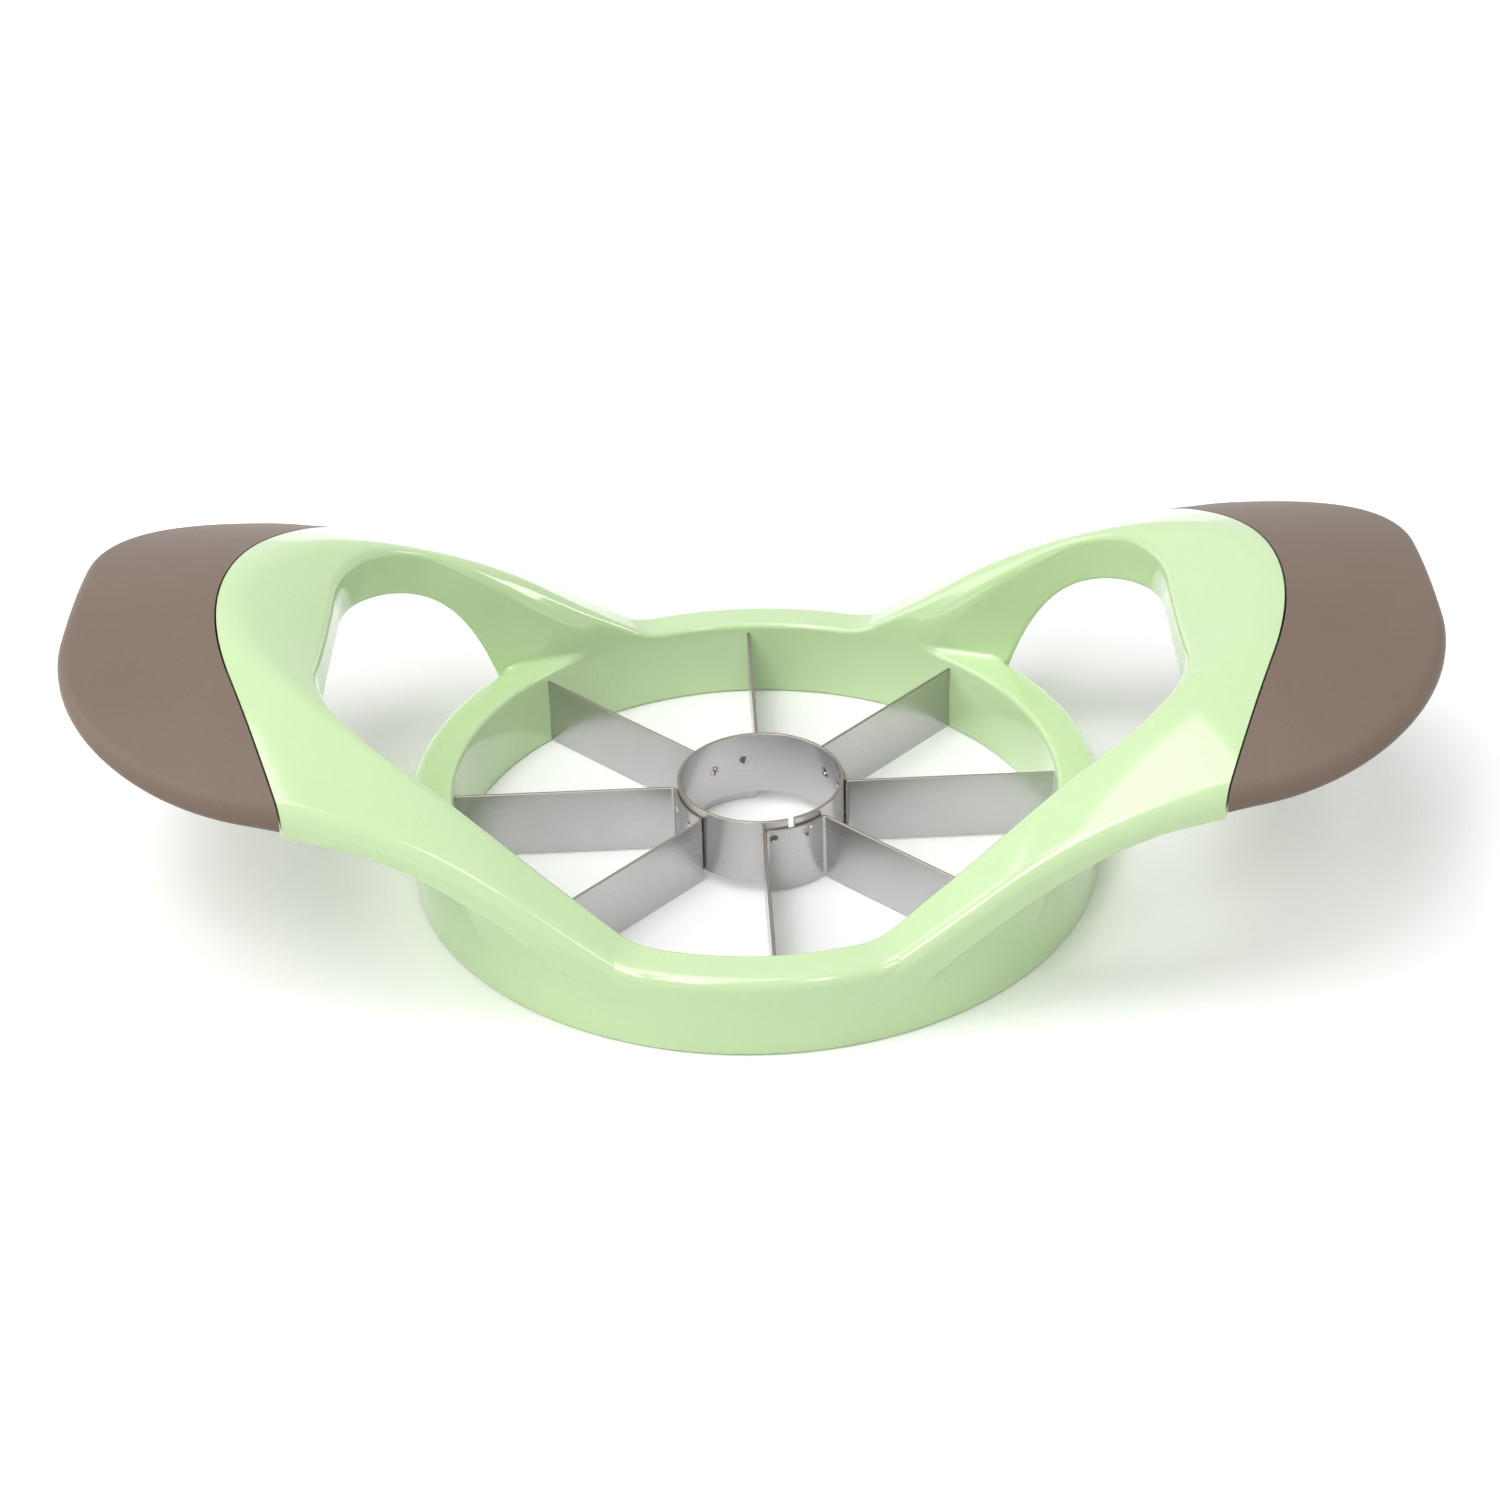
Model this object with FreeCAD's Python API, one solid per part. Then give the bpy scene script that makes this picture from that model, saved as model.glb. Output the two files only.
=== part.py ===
"""Apple slicer and wedger: a ring frame with two raised loop handles, soft
grips on their ends, and eight blades around a core tube.

Millimetres and degrees, +Z up. The origin is at the middle of the ring's foot,
X runs along the handles and Y across them. Each piece is one solid, written to
parts/NODE.step.
"""
import FreeCAD, Part
import math
import os

from FreeCAD import Placement, Rotation, Vector

# ---- ring of the frame -------------------------------------------------------
RING_OUTER_R = 52.0
RING_WALL = 7.3
RING_HEIGHT = 12.7
BORE_DRAFT = 0.6            # the bore is this much wider in radius at the foot
RING_TOP_ROUND = 1.8        # outer edge of the ring's top
RING_MOUTH_ROUND = 0.9      # inner edge of the ring's top
RING_FOOT_ROUND = 0.6

# ---- handle seen from above. Places along it are counted from the ring's outer
# ---- wall, and are negative inside the ring
HANDLE_LENGTH = 46.4        # to the tip of the handle
HANDLE_ROOT = -42.0         # the handle's blank starts here, inside the ring
NOSE_R = 30.0               # corners of the D-shaped end
NOSE_NARROWING = 11.5       # the D is this much narrower than the ring, on each side
WAIST_R = 240.0             # hollow side between the ring and the D

# ---- handle seen from the side, along its middle -----------------------------
TIP_HEIGHT = 46.0           # top of the handle at its tip
TIP_THICKNESS = 5.0
TOP_RISE_START = -39.8      # where the top leaves the level of the ring's top
TOP_RISE_ANGLE = 41.3
TOP_BEND_R = 62.8
TOP_TIP_ANGLE = -1.7
UNDER_RISE_START = -32.2    # where the underside leaves the ring's top level
UNDER_RISE_ANGLE = 34.6
UNDER_BEND_R = 53.0
UNDER_TIP_ANGLE = 11.0

# ---- handle seen along X: crowned across -------------------------------------
CROWN_R = 74.0
CROWN_NONE_AT = -62.5       # the crown fades to flat towards the ring
CROWN_FULL_AT = 8.0
CROWN_OPENS_AT = 18.0       # and opens again towards the tip
CROWN_OPENING = 0.5         # gain of radius for each millimetre
UNDER_CROWN_R = 200.0
UNDER_CROWN_NONE_AT = -44.0
UNDER_CROWN_FULL_AT = -6.0
WEB_DROP = 16.0             # the underside sinks this far to meet the ring
WEB_RUN = 2.7               # how fast that web fades away from the ring
WEB_WIDTH = 10.0            # and across, away from the finger hole
WEB_FLOOR = 5.0             # inside the ring's wall it stays this high

# ---- finger hole -------------------------------------------------------------
HOLE_LENGTH = 9.9           # to the far end of the hole
HOLE_NOSE_R = 20.3
HOLE_SIDE_ANGLE = 16.4      # its sides close in towards the tip
HOLE_SIDE_INSET = 9.4       # ring's outer wall to the line of the hole's side

# ---- bell mouth that lets the apple down between the handles -----------------
BELL_R = 50.0               # arc of its wall, from the ring's bore
BELL_LENGTH = 21.5          # to where that arc is as high as the tip

# ---- rounding of the handle's edges; its outer lower edge is a sharp parting line
OUTER_TOP_ROUND = 1.2
HOLE_ROUND = 0.9

# ---- seam and soft grips -----------------------------------------------------
SEAM_AT = 24.8              # the seam on the middle of the handle
SEAM_R = 52.0
SEAM_SIDE_ANGLE = 22.5
SEAM_GROOVE = 0.3           # open line between the frame and the grip
GRIP_UNDER_STEP = 0.4       # the grip's underside lies this much higher
GRIP_TOP_ROUND = 1.7
GRIP_UNDER_ROUND = 1.4
GRIP_SKIN = 1.6             # soft layer over and under the tongue
TONGUE_INSET = 7.0          # outline of the handle to that of the tongue
TONGUE_ROOT = 3.0           # the tongue starts this deep in the frame
TONGUE_FIT = 0.1            # clearance between tongue and pocket
LOCK_HOLE_R = 3.0           # holes in the tongue that the soft grip fills
LOCK_HOLE_SPREAD = 12.0     # middle of the tongue to those holes

# ---- blades and core tube ----------------------------------------------------
STEEL = 0.5                 # thickness of the strip
CORE_R = 12.57              # outer radius of the core tube
CORE_FOOT = 1.9
CORE_TOP = 12.5
CORE_SEAM_GAP = 1.0
CORE_SEAM_ANGLE = 289.0
CORE_FIT = 0.02             # tube to the tab that wraps it
BLADE_FOOT = 0.3
BLADE_TOP = 11.2
BLADE_BEVEL = 0.8           # height of the ground cutting edge
BLADE_EDGE = 0.1            # thickness left at the cutting edge
BLADE_COUNT = 8
BLADE_BEND_R = 0.5          # inside radius where a tab turns into a blade
BLADE_BITE = 5.0            # how far a blade's end runs into the ring's wall
BLADE_TURN = 2.1            # the blade set is turned this much in the ring
BLADE_SHIFT = 0.9           # and sits this far off the ring's axis along X
ANCHOR_HOLE_R = 1.3         # hole in a blade's end, filled by the frame
ANCHOR_LAND = 0.7           # strip left beyond that hole

# ---- working sizes -----------------------------------------------------------
SHEET_STEP = 2.0            # spacing of the points that carry a curved face
OVERSHOOT = 6.0             # how far a cutting tool runs past what it cuts
EDGE_NEAR = 0.6             # an edge this near a curved face belongs to it
EDGE_SAMPLES = 7
TOUCH = 1e-3
BELL_SHARE = 0.98           # the bell's arc stops just short of level

RING_BORE_R = RING_OUTER_R - RING_WALL
HANDLE_REACH = RING_OUTER_R + HANDLE_LENGTH
NOSE_X = HANDLE_REACH - NOSE_R
NOSE_HALF_FLAT = RING_OUTER_R - NOSE_NARROWING - NOSE_R
ROOT_X = RING_OUTER_R + HANDLE_ROOT
SEAM_X = RING_OUTER_R + SEAM_AT
LOCK_HOLE_X = (SEAM_X + HANDLE_REACH - TONGUE_INSET) / 2
CEILING = TIP_HEIGHT + 2 * OVERSHOOT
AXIS_FOOT = Vector(0, 0, 0)
UP = Vector(0, 0, 1)


# ==== outlines ================================================================
def polar(radius, degrees):
    """Point at a radius and angle in the XY plane."""
    angle = math.radians(degrees)
    return Vector(radius * math.cos(angle), radius * math.sin(angle), 0)


def mirror_y(point):
    return Vector(point.x, -point.y, point.z)


def arc_about(centre, start, end, bulge):
    """Arc from start to end about centre, through the side where bulge points."""
    radius = start.sub(centre).Length
    middle = centre + Vector(bulge).normalize() * radius
    return Part.Arc(start, middle, end).toShape()


def line(start, end):
    return Part.LineSegment(start, end).toShape()


def prism(edges, low, high):
    """Upright solid over a closed outline, from z = low to z = high."""
    wire = Part.Wire(Part.__sortEdges__(edges))
    wire.translate(Vector(0, 0, low))
    return Part.Face(wire).extrude(Vector(0, 0, high - low))


def handle_edges(inset):
    """Outline of a handle, drawn in by inset: ring, hollow waist, D-shaped end."""
    nose_centre = Vector(NOSE_X, NOSE_HALF_FLAT, 0)
    to_ring = RING_OUTER_R + WAIST_R
    to_nose = NOSE_R + WAIST_R
    span = nose_centre.Length
    along = (to_ring ** 2 - to_nose ** 2 + span ** 2) / (2 * span)
    across = math.sqrt(to_ring ** 2 - along ** 2)
    axis = Vector(nose_centre).normalize()
    waist_centre = axis * along + Vector(-axis.y, axis.x, 0) * across

    ring_r = RING_OUTER_R - inset
    nose_r = NOSE_R - inset
    to_waist = Vector(waist_centre).normalize()
    root = to_waist * ring_r
    hip_way = waist_centre.sub(nose_centre).normalize()
    hip = nose_centre + hip_way * nose_r
    shoulder = nose_centre + Vector(nose_r, 0, 0)
    start = Vector(ROOT_X, math.sqrt(ring_r ** 2 - ROOT_X ** 2), 0)

    waist_bulge = (root + hip) * 0.5 - waist_centre
    nose_bulge = hip_way + Vector(1, 0, 0)
    upper = [
        arc_about(Vector(0, 0, 0), start, root, start + root),
        arc_about(waist_centre, root, hip, waist_bulge),
        arc_about(nose_centre, hip, shoulder, nose_bulge),
    ]
    lower = [edge.mirror(Vector(0, 0, 0), Vector(0, 1, 0)) for edge in upper]
    ends = [line(shoulder, mirror_y(shoulder)), line(mirror_y(start), start)]
    return upper + lower + ends


def hole_edges():
    """Outline of the finger hole, open towards the ring as far as its axis."""
    side = polar(1.0, 90 - HOLE_SIDE_ANGLE)
    offset = RING_OUTER_R - HOLE_SIDE_INSET
    nose_x = RING_OUTER_R + HOLE_LENGTH - HOLE_NOSE_R
    nose_y = (offset - HOLE_NOSE_R - side.x * nose_x) / side.y
    nose_centre = Vector(nose_x, nose_y, 0)
    shoulder = nose_centre + Vector(HOLE_NOSE_R, 0, 0)
    hip = nose_centre + side * HOLE_NOSE_R
    start = Vector(0, offset / side.y, 0)
    upper = [
        line(start, hip),
        arc_about(nose_centre, hip, shoulder, side + Vector(1, 0, 0)),
    ]
    lower = [edge.mirror(Vector(0, 0, 0), Vector(0, 1, 0)) for edge in upper]
    ends = [line(shoulder, mirror_y(shoulder)), line(mirror_y(start), start)]
    return upper + lower + ends


def seam_edges(offset):
    """Region beyond the seam between frame and grip, moved out by offset."""
    reach = SEAM_X + offset
    centre = Vector(reach - SEAM_R, 0, 0)
    hip = centre + polar(SEAM_R, SEAM_SIDE_ANGLE)
    far_y = RING_OUTER_R + OVERSHOOT
    run = far_y - hip.y
    side_end = Vector(hip.x - run * math.tan(math.radians(SEAM_SIDE_ANGLE)), far_y, 0)
    corner = Vector(HANDLE_REACH + OVERSHOOT, far_y, 0)
    return [
        arc_about(centre, mirror_y(hip), hip, Vector(1, 0, 0)),
        line(hip, side_end),
        line(side_end, corner),
        line(corner, mirror_y(corner)),
        line(mirror_y(corner), mirror_y(side_end)),
        line(mirror_y(side_end), mirror_y(hip)),
    ]


# ==== curved faces ============================================================
def bent_line(x, first, first_angle, last, last_angle, radius):
    """Height at x of two straight runs joined by an arc that bends down.

    The first run passes through the point first at first_angle, the last run
    through the point last at last_angle. Points are (x, z).
    """
    first_slope = math.tan(math.radians(first_angle))
    last_slope = math.tan(math.radians(last_angle))
    rise = last[1] - first[1] + first_slope * first[0] - last_slope * last[0]
    corner_x = rise / (first_slope - last_slope)
    corner_z = first[1] + first_slope * (corner_x - first[0])
    tangent = radius * math.tan(math.radians((first_angle - last_angle) / 2))
    start_x = corner_x - tangent * math.cos(math.radians(first_angle))
    end_x = corner_x + tangent * math.cos(math.radians(last_angle))
    if x <= start_x:
        return corner_z + first_slope * (x - corner_x)
    if x >= end_x:
        return corner_z + last_slope * (x - corner_x)
    start_z = corner_z + first_slope * (start_x - corner_x)
    centre_x = start_x + radius * math.sin(math.radians(first_angle))
    centre_z = start_z - radius * math.cos(math.radians(first_angle))
    return centre_z + math.sqrt(radius ** 2 - (x - centre_x) ** 2)


def ease(value):
    """Smooth step from 0 to 1."""
    t = min(max(value, 0.0), 1.0)
    return t * t * (3 - 2 * t)


def top_height(x, y):
    """Top face of a handle."""
    out = x - RING_OUTER_R
    middle = bent_line(out, (TOP_RISE_START, RING_HEIGHT), TOP_RISE_ANGLE,
                       (HANDLE_LENGTH, TIP_HEIGHT), TOP_TIP_ANGLE, TOP_BEND_R)
    fade = ease((out - CROWN_NONE_AT) / (CROWN_FULL_AT - CROWN_NONE_AT))
    crown_r = CROWN_R + CROWN_OPENING * max(out - CROWN_OPENS_AT, 0)
    return middle - fade * y * y / (2 * crown_r)


def under_height(x, y):
    """Underside of a handle, with the web that carries it into the ring."""
    out = x - RING_OUTER_R
    tip = (HANDLE_LENGTH, TIP_HEIGHT - TIP_THICKNESS)
    middle = bent_line(out, (UNDER_RISE_START, RING_HEIGHT), UNDER_RISE_ANGLE,
                       tip, UNDER_TIP_ANGLE, UNDER_BEND_R)
    fade = ease((out - UNDER_CROWN_NONE_AT) / (UNDER_CROWN_FULL_AT - UNDER_CROWN_NONE_AT))
    crowned = middle - fade * y * y / (2 * UNDER_CROWN_R)
    side = polar(1.0, 90 - HOLE_SIDE_ANGLE)
    past_hole = side.x * x + side.y * abs(y) - (RING_OUTER_R - HOLE_SIDE_INSET)
    past_ring = max(math.hypot(x, y) - RING_OUTER_R, 0)
    web = WEB_DROP * (1 - ease(past_hole / WEB_WIDTH)) * math.exp(-past_ring / WEB_RUN)
    return max(crowned - web, WEB_FLOOR)


def sheet(height, shift):
    """Curved face z = height(x, y) + shift over the whole of a handle."""
    half_width = RING_OUTER_R + OVERSHOOT
    columns = math.ceil((HANDLE_REACH + OVERSHOOT) / SHEET_STEP)
    rows = math.ceil(half_width / SHEET_STEP)
    grid = []
    for column in range(columns + 1):
        x = column * SHEET_STEP
        ys = [row * SHEET_STEP for row in range(-rows, rows + 1)]
        grid.append([Vector(x, y, height(x, y) + shift) for y in ys])
    surface = Part.BSplineSurface()
    surface.interpolate(grid)
    return surface.toShape()


def space_above(shift):
    """Everything above the handle's top face, moved by shift."""
    return sheet(top_height, shift).extrude(Vector(0, 0, CEILING))


def space_below(shift):
    """Everything below the handle's underside, moved by shift."""
    return sheet(under_height, shift).extrude(Vector(0, 0, -CEILING))


# ==== rounding ================================================================
def samples(edge):
    """Points spread along an edge, its ends left out."""
    first, last = edge.ParameterRange
    step = (last - first) / (EDGE_SAMPLES + 1)
    return [edge.valueAt(first + step * number) for number in range(1, EDGE_SAMPLES + 1)]


def rim_edges(shape, height, shift, outline):
    """Edges of shape that run where the curved face z = height meets the outline."""
    wall = prism(outline, -OVERSHOOT, CEILING)
    found = []
    for edge in shape.Edges:
        points = samples(edge)
        on_face = all(abs(p.z - height(p.x, p.y) - shift) < EDGE_NEAR for p in points)
        level = abs(points[0].x - points[-1].x) + abs(points[0].y - points[-1].y) > EDGE_NEAR
        if on_face and level:
            off_wall = max(wall.Shells[0].distToShape(Part.Vertex(p))[0] for p in points)
            if off_wall < TOUCH and min(p.x for p in points) > ROOT_X + TOUCH:
                found.append(edge)
    return found


def circle_edges(shape, radius, height):
    """Circular edges of shape with this radius and height about the ring's axis."""
    rings = [edge for edge in shape.Edges if isinstance(edge.Curve, Part.Circle)]
    return [
        edge for edge in rings
        if abs(edge.Curve.Radius - radius) < TOUCH and abs(edge.Curve.Center.z - height) < TOUCH
    ]


# ==== frame ===================================================================
def revolved(edges):
    """Solid of revolution about Z over a closed outline in the XZ plane."""
    face = Part.Face(Part.Wire(Part.__sortEdges__(edges)))
    return face.revolve(AXIS_FOOT, UP, 360)


def ring_body():
    """The plain ring, with its four edges rounded."""
    foot_bore_r = RING_BORE_R + BORE_DRAFT
    corners = [
        Vector(foot_bore_r, 0, 0),
        Vector(RING_OUTER_R, 0, 0),
        Vector(RING_OUTER_R, 0, RING_HEIGHT),
        Vector(RING_BORE_R, 0, RING_HEIGHT),
    ]
    ring = revolved([line(a, b) for a, b in zip(corners, corners[1:] + corners[:1])])
    for radius, height, rounding in (
        (RING_OUTER_R, RING_HEIGHT, RING_TOP_ROUND),
        (RING_BORE_R, RING_HEIGHT, RING_MOUTH_ROUND),
        (RING_OUTER_R, 0, RING_FOOT_ROUND),
        (foot_bore_r, 0, RING_FOOT_ROUND),
    ):
        ring = ring.makeFillet(rounding, circle_edges(ring, radius, height))
    return ring


def mouth_tool():
    """The ring's bore, carried up through the handles as a bell mouth."""
    rim = Vector(RING_BORE_R, 0, RING_HEIGHT)
    exit_point = Vector(RING_OUTER_R + BELL_LENGTH, 0, TIP_HEIGHT)
    chord = exit_point.sub(rim)
    to_centre = math.sqrt(BELL_R ** 2 - (chord.Length / 2) ** 2)
    outwards = Vector(chord.z, 0, -chord.x).normalize()
    centre = (rim + exit_point) * 0.5 + outwards * to_centre

    def wall(height):
        rise = height - centre.z
        return Vector(centre.x - math.sqrt(BELL_R ** 2 - rise ** 2), 0, height)

    bell_top = centre.z + BELL_R * BELL_SHARE
    bell = wall(bell_top)
    foot = Vector(RING_BORE_R + BORE_DRAFT, 0, 0)
    below = foot + foot.sub(rim)
    arc = Part.Arc(rim, wall((RING_HEIGHT + bell_top) / 2), bell).toShape()
    corners = [bell, Vector(bell.x, 0, CEILING), Vector(0, 0, CEILING), Vector(0, 0, below.z), below, rim]
    tool = revolved([arc] + [line(a, b) for a, b in zip(corners, corners[1:])])
    tool.rotate(AXIS_FOOT, UP, 90)
    return tool


def handle_blank():
    """One handle, crowned and rounded, with its finger hole, before the seam is cut."""
    blank = prism(handle_edges(0), 0, CEILING)
    blank = blank.cut(space_above(0)).cut(space_below(0))
    blank = blank.cut(prism(hole_edges(), -OVERSHOOT, CEILING + OVERSHOOT))
    for outline, height, rounding in (
        (handle_edges(0), top_height, OUTER_TOP_ROUND),
        (hole_edges(), top_height, HOLE_ROUND),
        (hole_edges(), under_height, HOLE_ROUND),
    ):
        blank = blank.makeFillet(rounding, rim_edges(blank, height, 0, outline))
    return blank.cut(mouth_tool())


def beyond_seam(offset):
    """The space past the seam between frame and grip, moved out by offset."""
    return prism(seam_edges(offset), -OVERSHOOT, CEILING)


def tongue(fit):
    """Tongue of the frame inside a grip, grown all round by fit."""
    slab = prism(handle_edges(TONGUE_INSET - fit), 0, CEILING)
    slab = slab.cut(space_above(fit - GRIP_SKIN)).cut(space_below(GRIP_SKIN - fit))
    slab = slab.common(beyond_seam(-TONGUE_ROOT))
    for side in (-1, 1):
        place = Vector(LOCK_HOLE_X, side * LOCK_HOLE_SPREAD, 0)
        slab = slab.cut(Part.makeCylinder(LOCK_HOLE_R - fit, CEILING, place))
    return slab


def to_left(shape):
    """The left handle's copy of a piece of the right one."""
    return shape.mirror(AXIS_FOOT, Vector(1, 0, 0))


def frame(strips):
    """Ring, both handles and their tongues in one moulding, cast round the blade ends."""
    handle = handle_blank().cut(beyond_seam(0)).fuse(tongue(0))
    body = ring_body().fuse([handle, to_left(handle)])
    return body.cut(strips).removeSplitter()


def grip():
    """Soft end of the right handle, with the pocket that takes the tongue."""
    blank = prism(handle_edges(0), 0, CEILING)
    blank = blank.cut(space_above(0)).cut(space_below(GRIP_UNDER_STEP))
    blank = blank.common(beyond_seam(SEAM_GROOVE))
    for height, shift, rounding in (
        (top_height, 0, GRIP_TOP_ROUND),
        (under_height, GRIP_UNDER_STEP, GRIP_UNDER_ROUND),
    ):
        blank = blank.makeFillet(rounding, rim_edges(blank, height, shift, handle_edges(0)))
    return blank.cut(tongue(TONGUE_FIT))


# ==== blades and core tube ====================================================
def core_tube():
    """Tube rolled from strip, with its butt seam left a hair open."""
    height = CORE_TOP - CORE_FOOT
    place = Vector(0, 0, CORE_FOOT)
    tube = Part.makeCylinder(CORE_R, height, place)
    tube = tube.cut(Part.makeCylinder(CORE_R - STEEL, height, place))
    slit = Part.makeBox(CORE_R + OVERSHOOT, CORE_SEAM_GAP, height)
    slit.translate(Vector(0, -CORE_SEAM_GAP / 2, CORE_FOOT))
    slit.rotate(AXIS_FOOT, UP, CORE_SEAM_ANGLE)
    return in_ring(tube.cut(slit))


def strip_side(offset):
    """One face of a bent strip from a blade's end to the middle of its tab.

    The strip's middle line runs in along the X axis, turns and wraps the core tube;
    offset moves the face away from that line, towards the next blade.
    """
    tab_r = CORE_R + CORE_FIT + STEEL / 2
    bend_r = BLADE_BEND_R + STEEL / 2
    bend = Vector(math.sqrt((tab_r + bend_r) ** 2 - bend_r ** 2), bend_r, 0)
    towards = Vector(bend).normalize()
    end = Vector(RING_BORE_R + BLADE_BITE, offset, 0)
    knee = Vector(bend.x, offset, 0)
    tangent = towards * (tab_r + offset)
    half_pitch = 180 / BLADE_COUNT
    middle = polar(tab_r + offset, half_pitch)
    return [
        line(end, knee),
        arc_about(bend, knee, tangent, Vector(-1, 0, 0) - towards + Vector(0, -1, 0)),
        arc_about(AXIS_FOOT, tangent, middle, tangent + middle),
    ]


def bevel_tool(side):
    """Sliver ground off one side of the cutting edge of the blade along X."""
    face_y = side * STEEL / 2
    edge_y = side * BLADE_EDGE / 2
    start = CORE_R + STEEL + BLADE_BEND_R
    corners = [
        Vector(start, face_y, BLADE_FOOT + BLADE_BEVEL),
        Vector(start, edge_y, BLADE_FOOT),
        Vector(start, face_y + side, BLADE_FOOT),
        Vector(start, face_y + side, BLADE_FOOT + BLADE_BEVEL),
    ]
    sliver = Part.Face(Part.makePolygon(corners + corners[:1]))
    return sliver.extrude(Vector(RING_OUTER_R, 0, 0))


def blade_strip(number):
    """One bent strip: two neighbouring blades and the tab that wraps the core tube."""
    pitch = 360 / BLADE_COUNT
    mirror_way = polar(1.0, pitch / 2 + 90)
    near = strip_side(STEEL / 2) + strip_side(-STEEL / 2)
    far = [edge.mirror(AXIS_FOOT, mirror_way) for edge in near]
    end_x = RING_BORE_R + BLADE_BITE
    tip = line(Vector(end_x, -STEEL / 2, 0), Vector(end_x, STEEL / 2, 0))
    strip = prism(near + far + [tip, tip.mirror(AXIS_FOOT, mirror_way)], BLADE_FOOT, BLADE_TOP)

    hole_place = Vector(end_x - ANCHOR_LAND - ANCHOR_HOLE_R, -STEEL, (BLADE_FOOT + BLADE_TOP) / 2)
    hole = Part.makeCylinder(ANCHOR_HOLE_R, 2 * STEEL, hole_place, Vector(0, 1, 0))
    for tool in (hole, bevel_tool(-1), bevel_tool(1)):
        strip = strip.cut([tool, tool.mirror(AXIS_FOOT, mirror_way)])
    strip.rotate(AXIS_FOOT, UP, 2 * pitch * number)
    return in_ring(strip)


def in_ring(shape):
    """A piece of the blade set, turned and shifted to its place in the ring."""
    turn = Rotation(UP, BLADE_TURN)
    shape.Placement = Placement(Vector(BLADE_SHIFT, 0, 0), turn).multiply(shape.Placement)
    return shape


# ==== parts ===================================================================
def all_parts():
    """Every piece by its node's name."""
    strips = [blade_strip(number) for number in range(BLADE_COUNT // 2)]
    right_grip = grip()
    parts = {
        "frame": frame(strips),
        "grip_right": right_grip,
        "grip_left": to_left(right_grip),
        "core_tube": core_tube(),
    }
    for number, strip in enumerate(strips, start=1):
        parts[f"blade_strip_{number}"] = strip
    return parts


def main():
    os.makedirs("parts", exist_ok=True)
    for name, shape in all_parts().items():
        solid = shape.Solids[0]
        assert len(shape.Solids) == 1 and solid.isValid(), name
        solid.exportStep(f"parts/{name}.step")
        box = solid.BoundBox
        print(f"{name}: {solid.Volume:.0f} mm3, {box.XLength:.1f} x {box.YLength:.1f} x {box.ZLength:.1f} mm")


main()
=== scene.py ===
# %% [markdown]
# # An apple slicer
#
# The slicer is pressed straight down over an apple with both hands. A moulded
# ring carries two loop handles with soft ends, and eight steel blades run from
# the ring to a short tube that cuts out the core. Nothing on it moves.
#
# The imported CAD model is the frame. It settles every size, so this notebook
# only dresses it: it reads what it can from the frame and repeats the few
# driving sizes that a bounding box can't tell.

# %% Load the frame
import math

import bpy
import numpy as np
from mathutils import Matrix, Vector


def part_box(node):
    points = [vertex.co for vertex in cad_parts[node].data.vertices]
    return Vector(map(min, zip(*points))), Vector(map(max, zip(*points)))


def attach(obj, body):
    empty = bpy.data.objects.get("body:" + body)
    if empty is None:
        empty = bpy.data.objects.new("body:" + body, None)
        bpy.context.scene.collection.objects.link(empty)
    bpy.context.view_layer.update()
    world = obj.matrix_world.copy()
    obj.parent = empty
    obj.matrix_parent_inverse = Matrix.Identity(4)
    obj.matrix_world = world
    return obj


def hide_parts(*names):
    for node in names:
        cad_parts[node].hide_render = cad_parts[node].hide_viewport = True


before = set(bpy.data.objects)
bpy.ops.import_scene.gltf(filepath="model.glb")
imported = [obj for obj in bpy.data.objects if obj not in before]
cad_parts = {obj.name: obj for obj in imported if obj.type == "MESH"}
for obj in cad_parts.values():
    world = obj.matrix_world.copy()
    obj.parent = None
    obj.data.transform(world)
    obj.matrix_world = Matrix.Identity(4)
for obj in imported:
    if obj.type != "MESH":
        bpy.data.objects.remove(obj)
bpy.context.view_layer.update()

print("CAD nodes:", sorted(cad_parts))

# %% [markdown]
# ## Python that writes node trees
#
# A rule is easier to read as a sum than as a picture of a hundred nodes. A Wire
# stands for one output of a node. Adding two of them adds a Math node, so an
# expression in Python becomes nodes. One method, Tree.node, makes them all:
# settings first, sockets second.

# %% Wires and trees
def adds_node(operation, swapped=False):
    """An operator that adds a Math node, with its two values swapped or not."""
    def method(wire, other):
        pair = (other, wire) if swapped else (wire, other)
        return wire.tree.math(operation, *pair)
    return method


class Wire:
    """One output of a node that can be used in arithmetic."""

    def __init__(self, tree, output):
        self.tree = tree
        self.output = output

    def __neg__(self):
        return self * -1.0

    __add__, __radd__ = adds_node("ADD"), adds_node("ADD", swapped=True)
    __sub__, __rsub__ = adds_node("SUBTRACT"), adds_node("SUBTRACT", swapped=True)
    __mul__, __rmul__ = adds_node("MULTIPLY"), adds_node("MULTIPLY", swapped=True)
    __truediv__ = adds_node("DIVIDE")
    __gt__, __lt__ = adds_node("GREATER_THAN"), adds_node("LESS_THAN")


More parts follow.
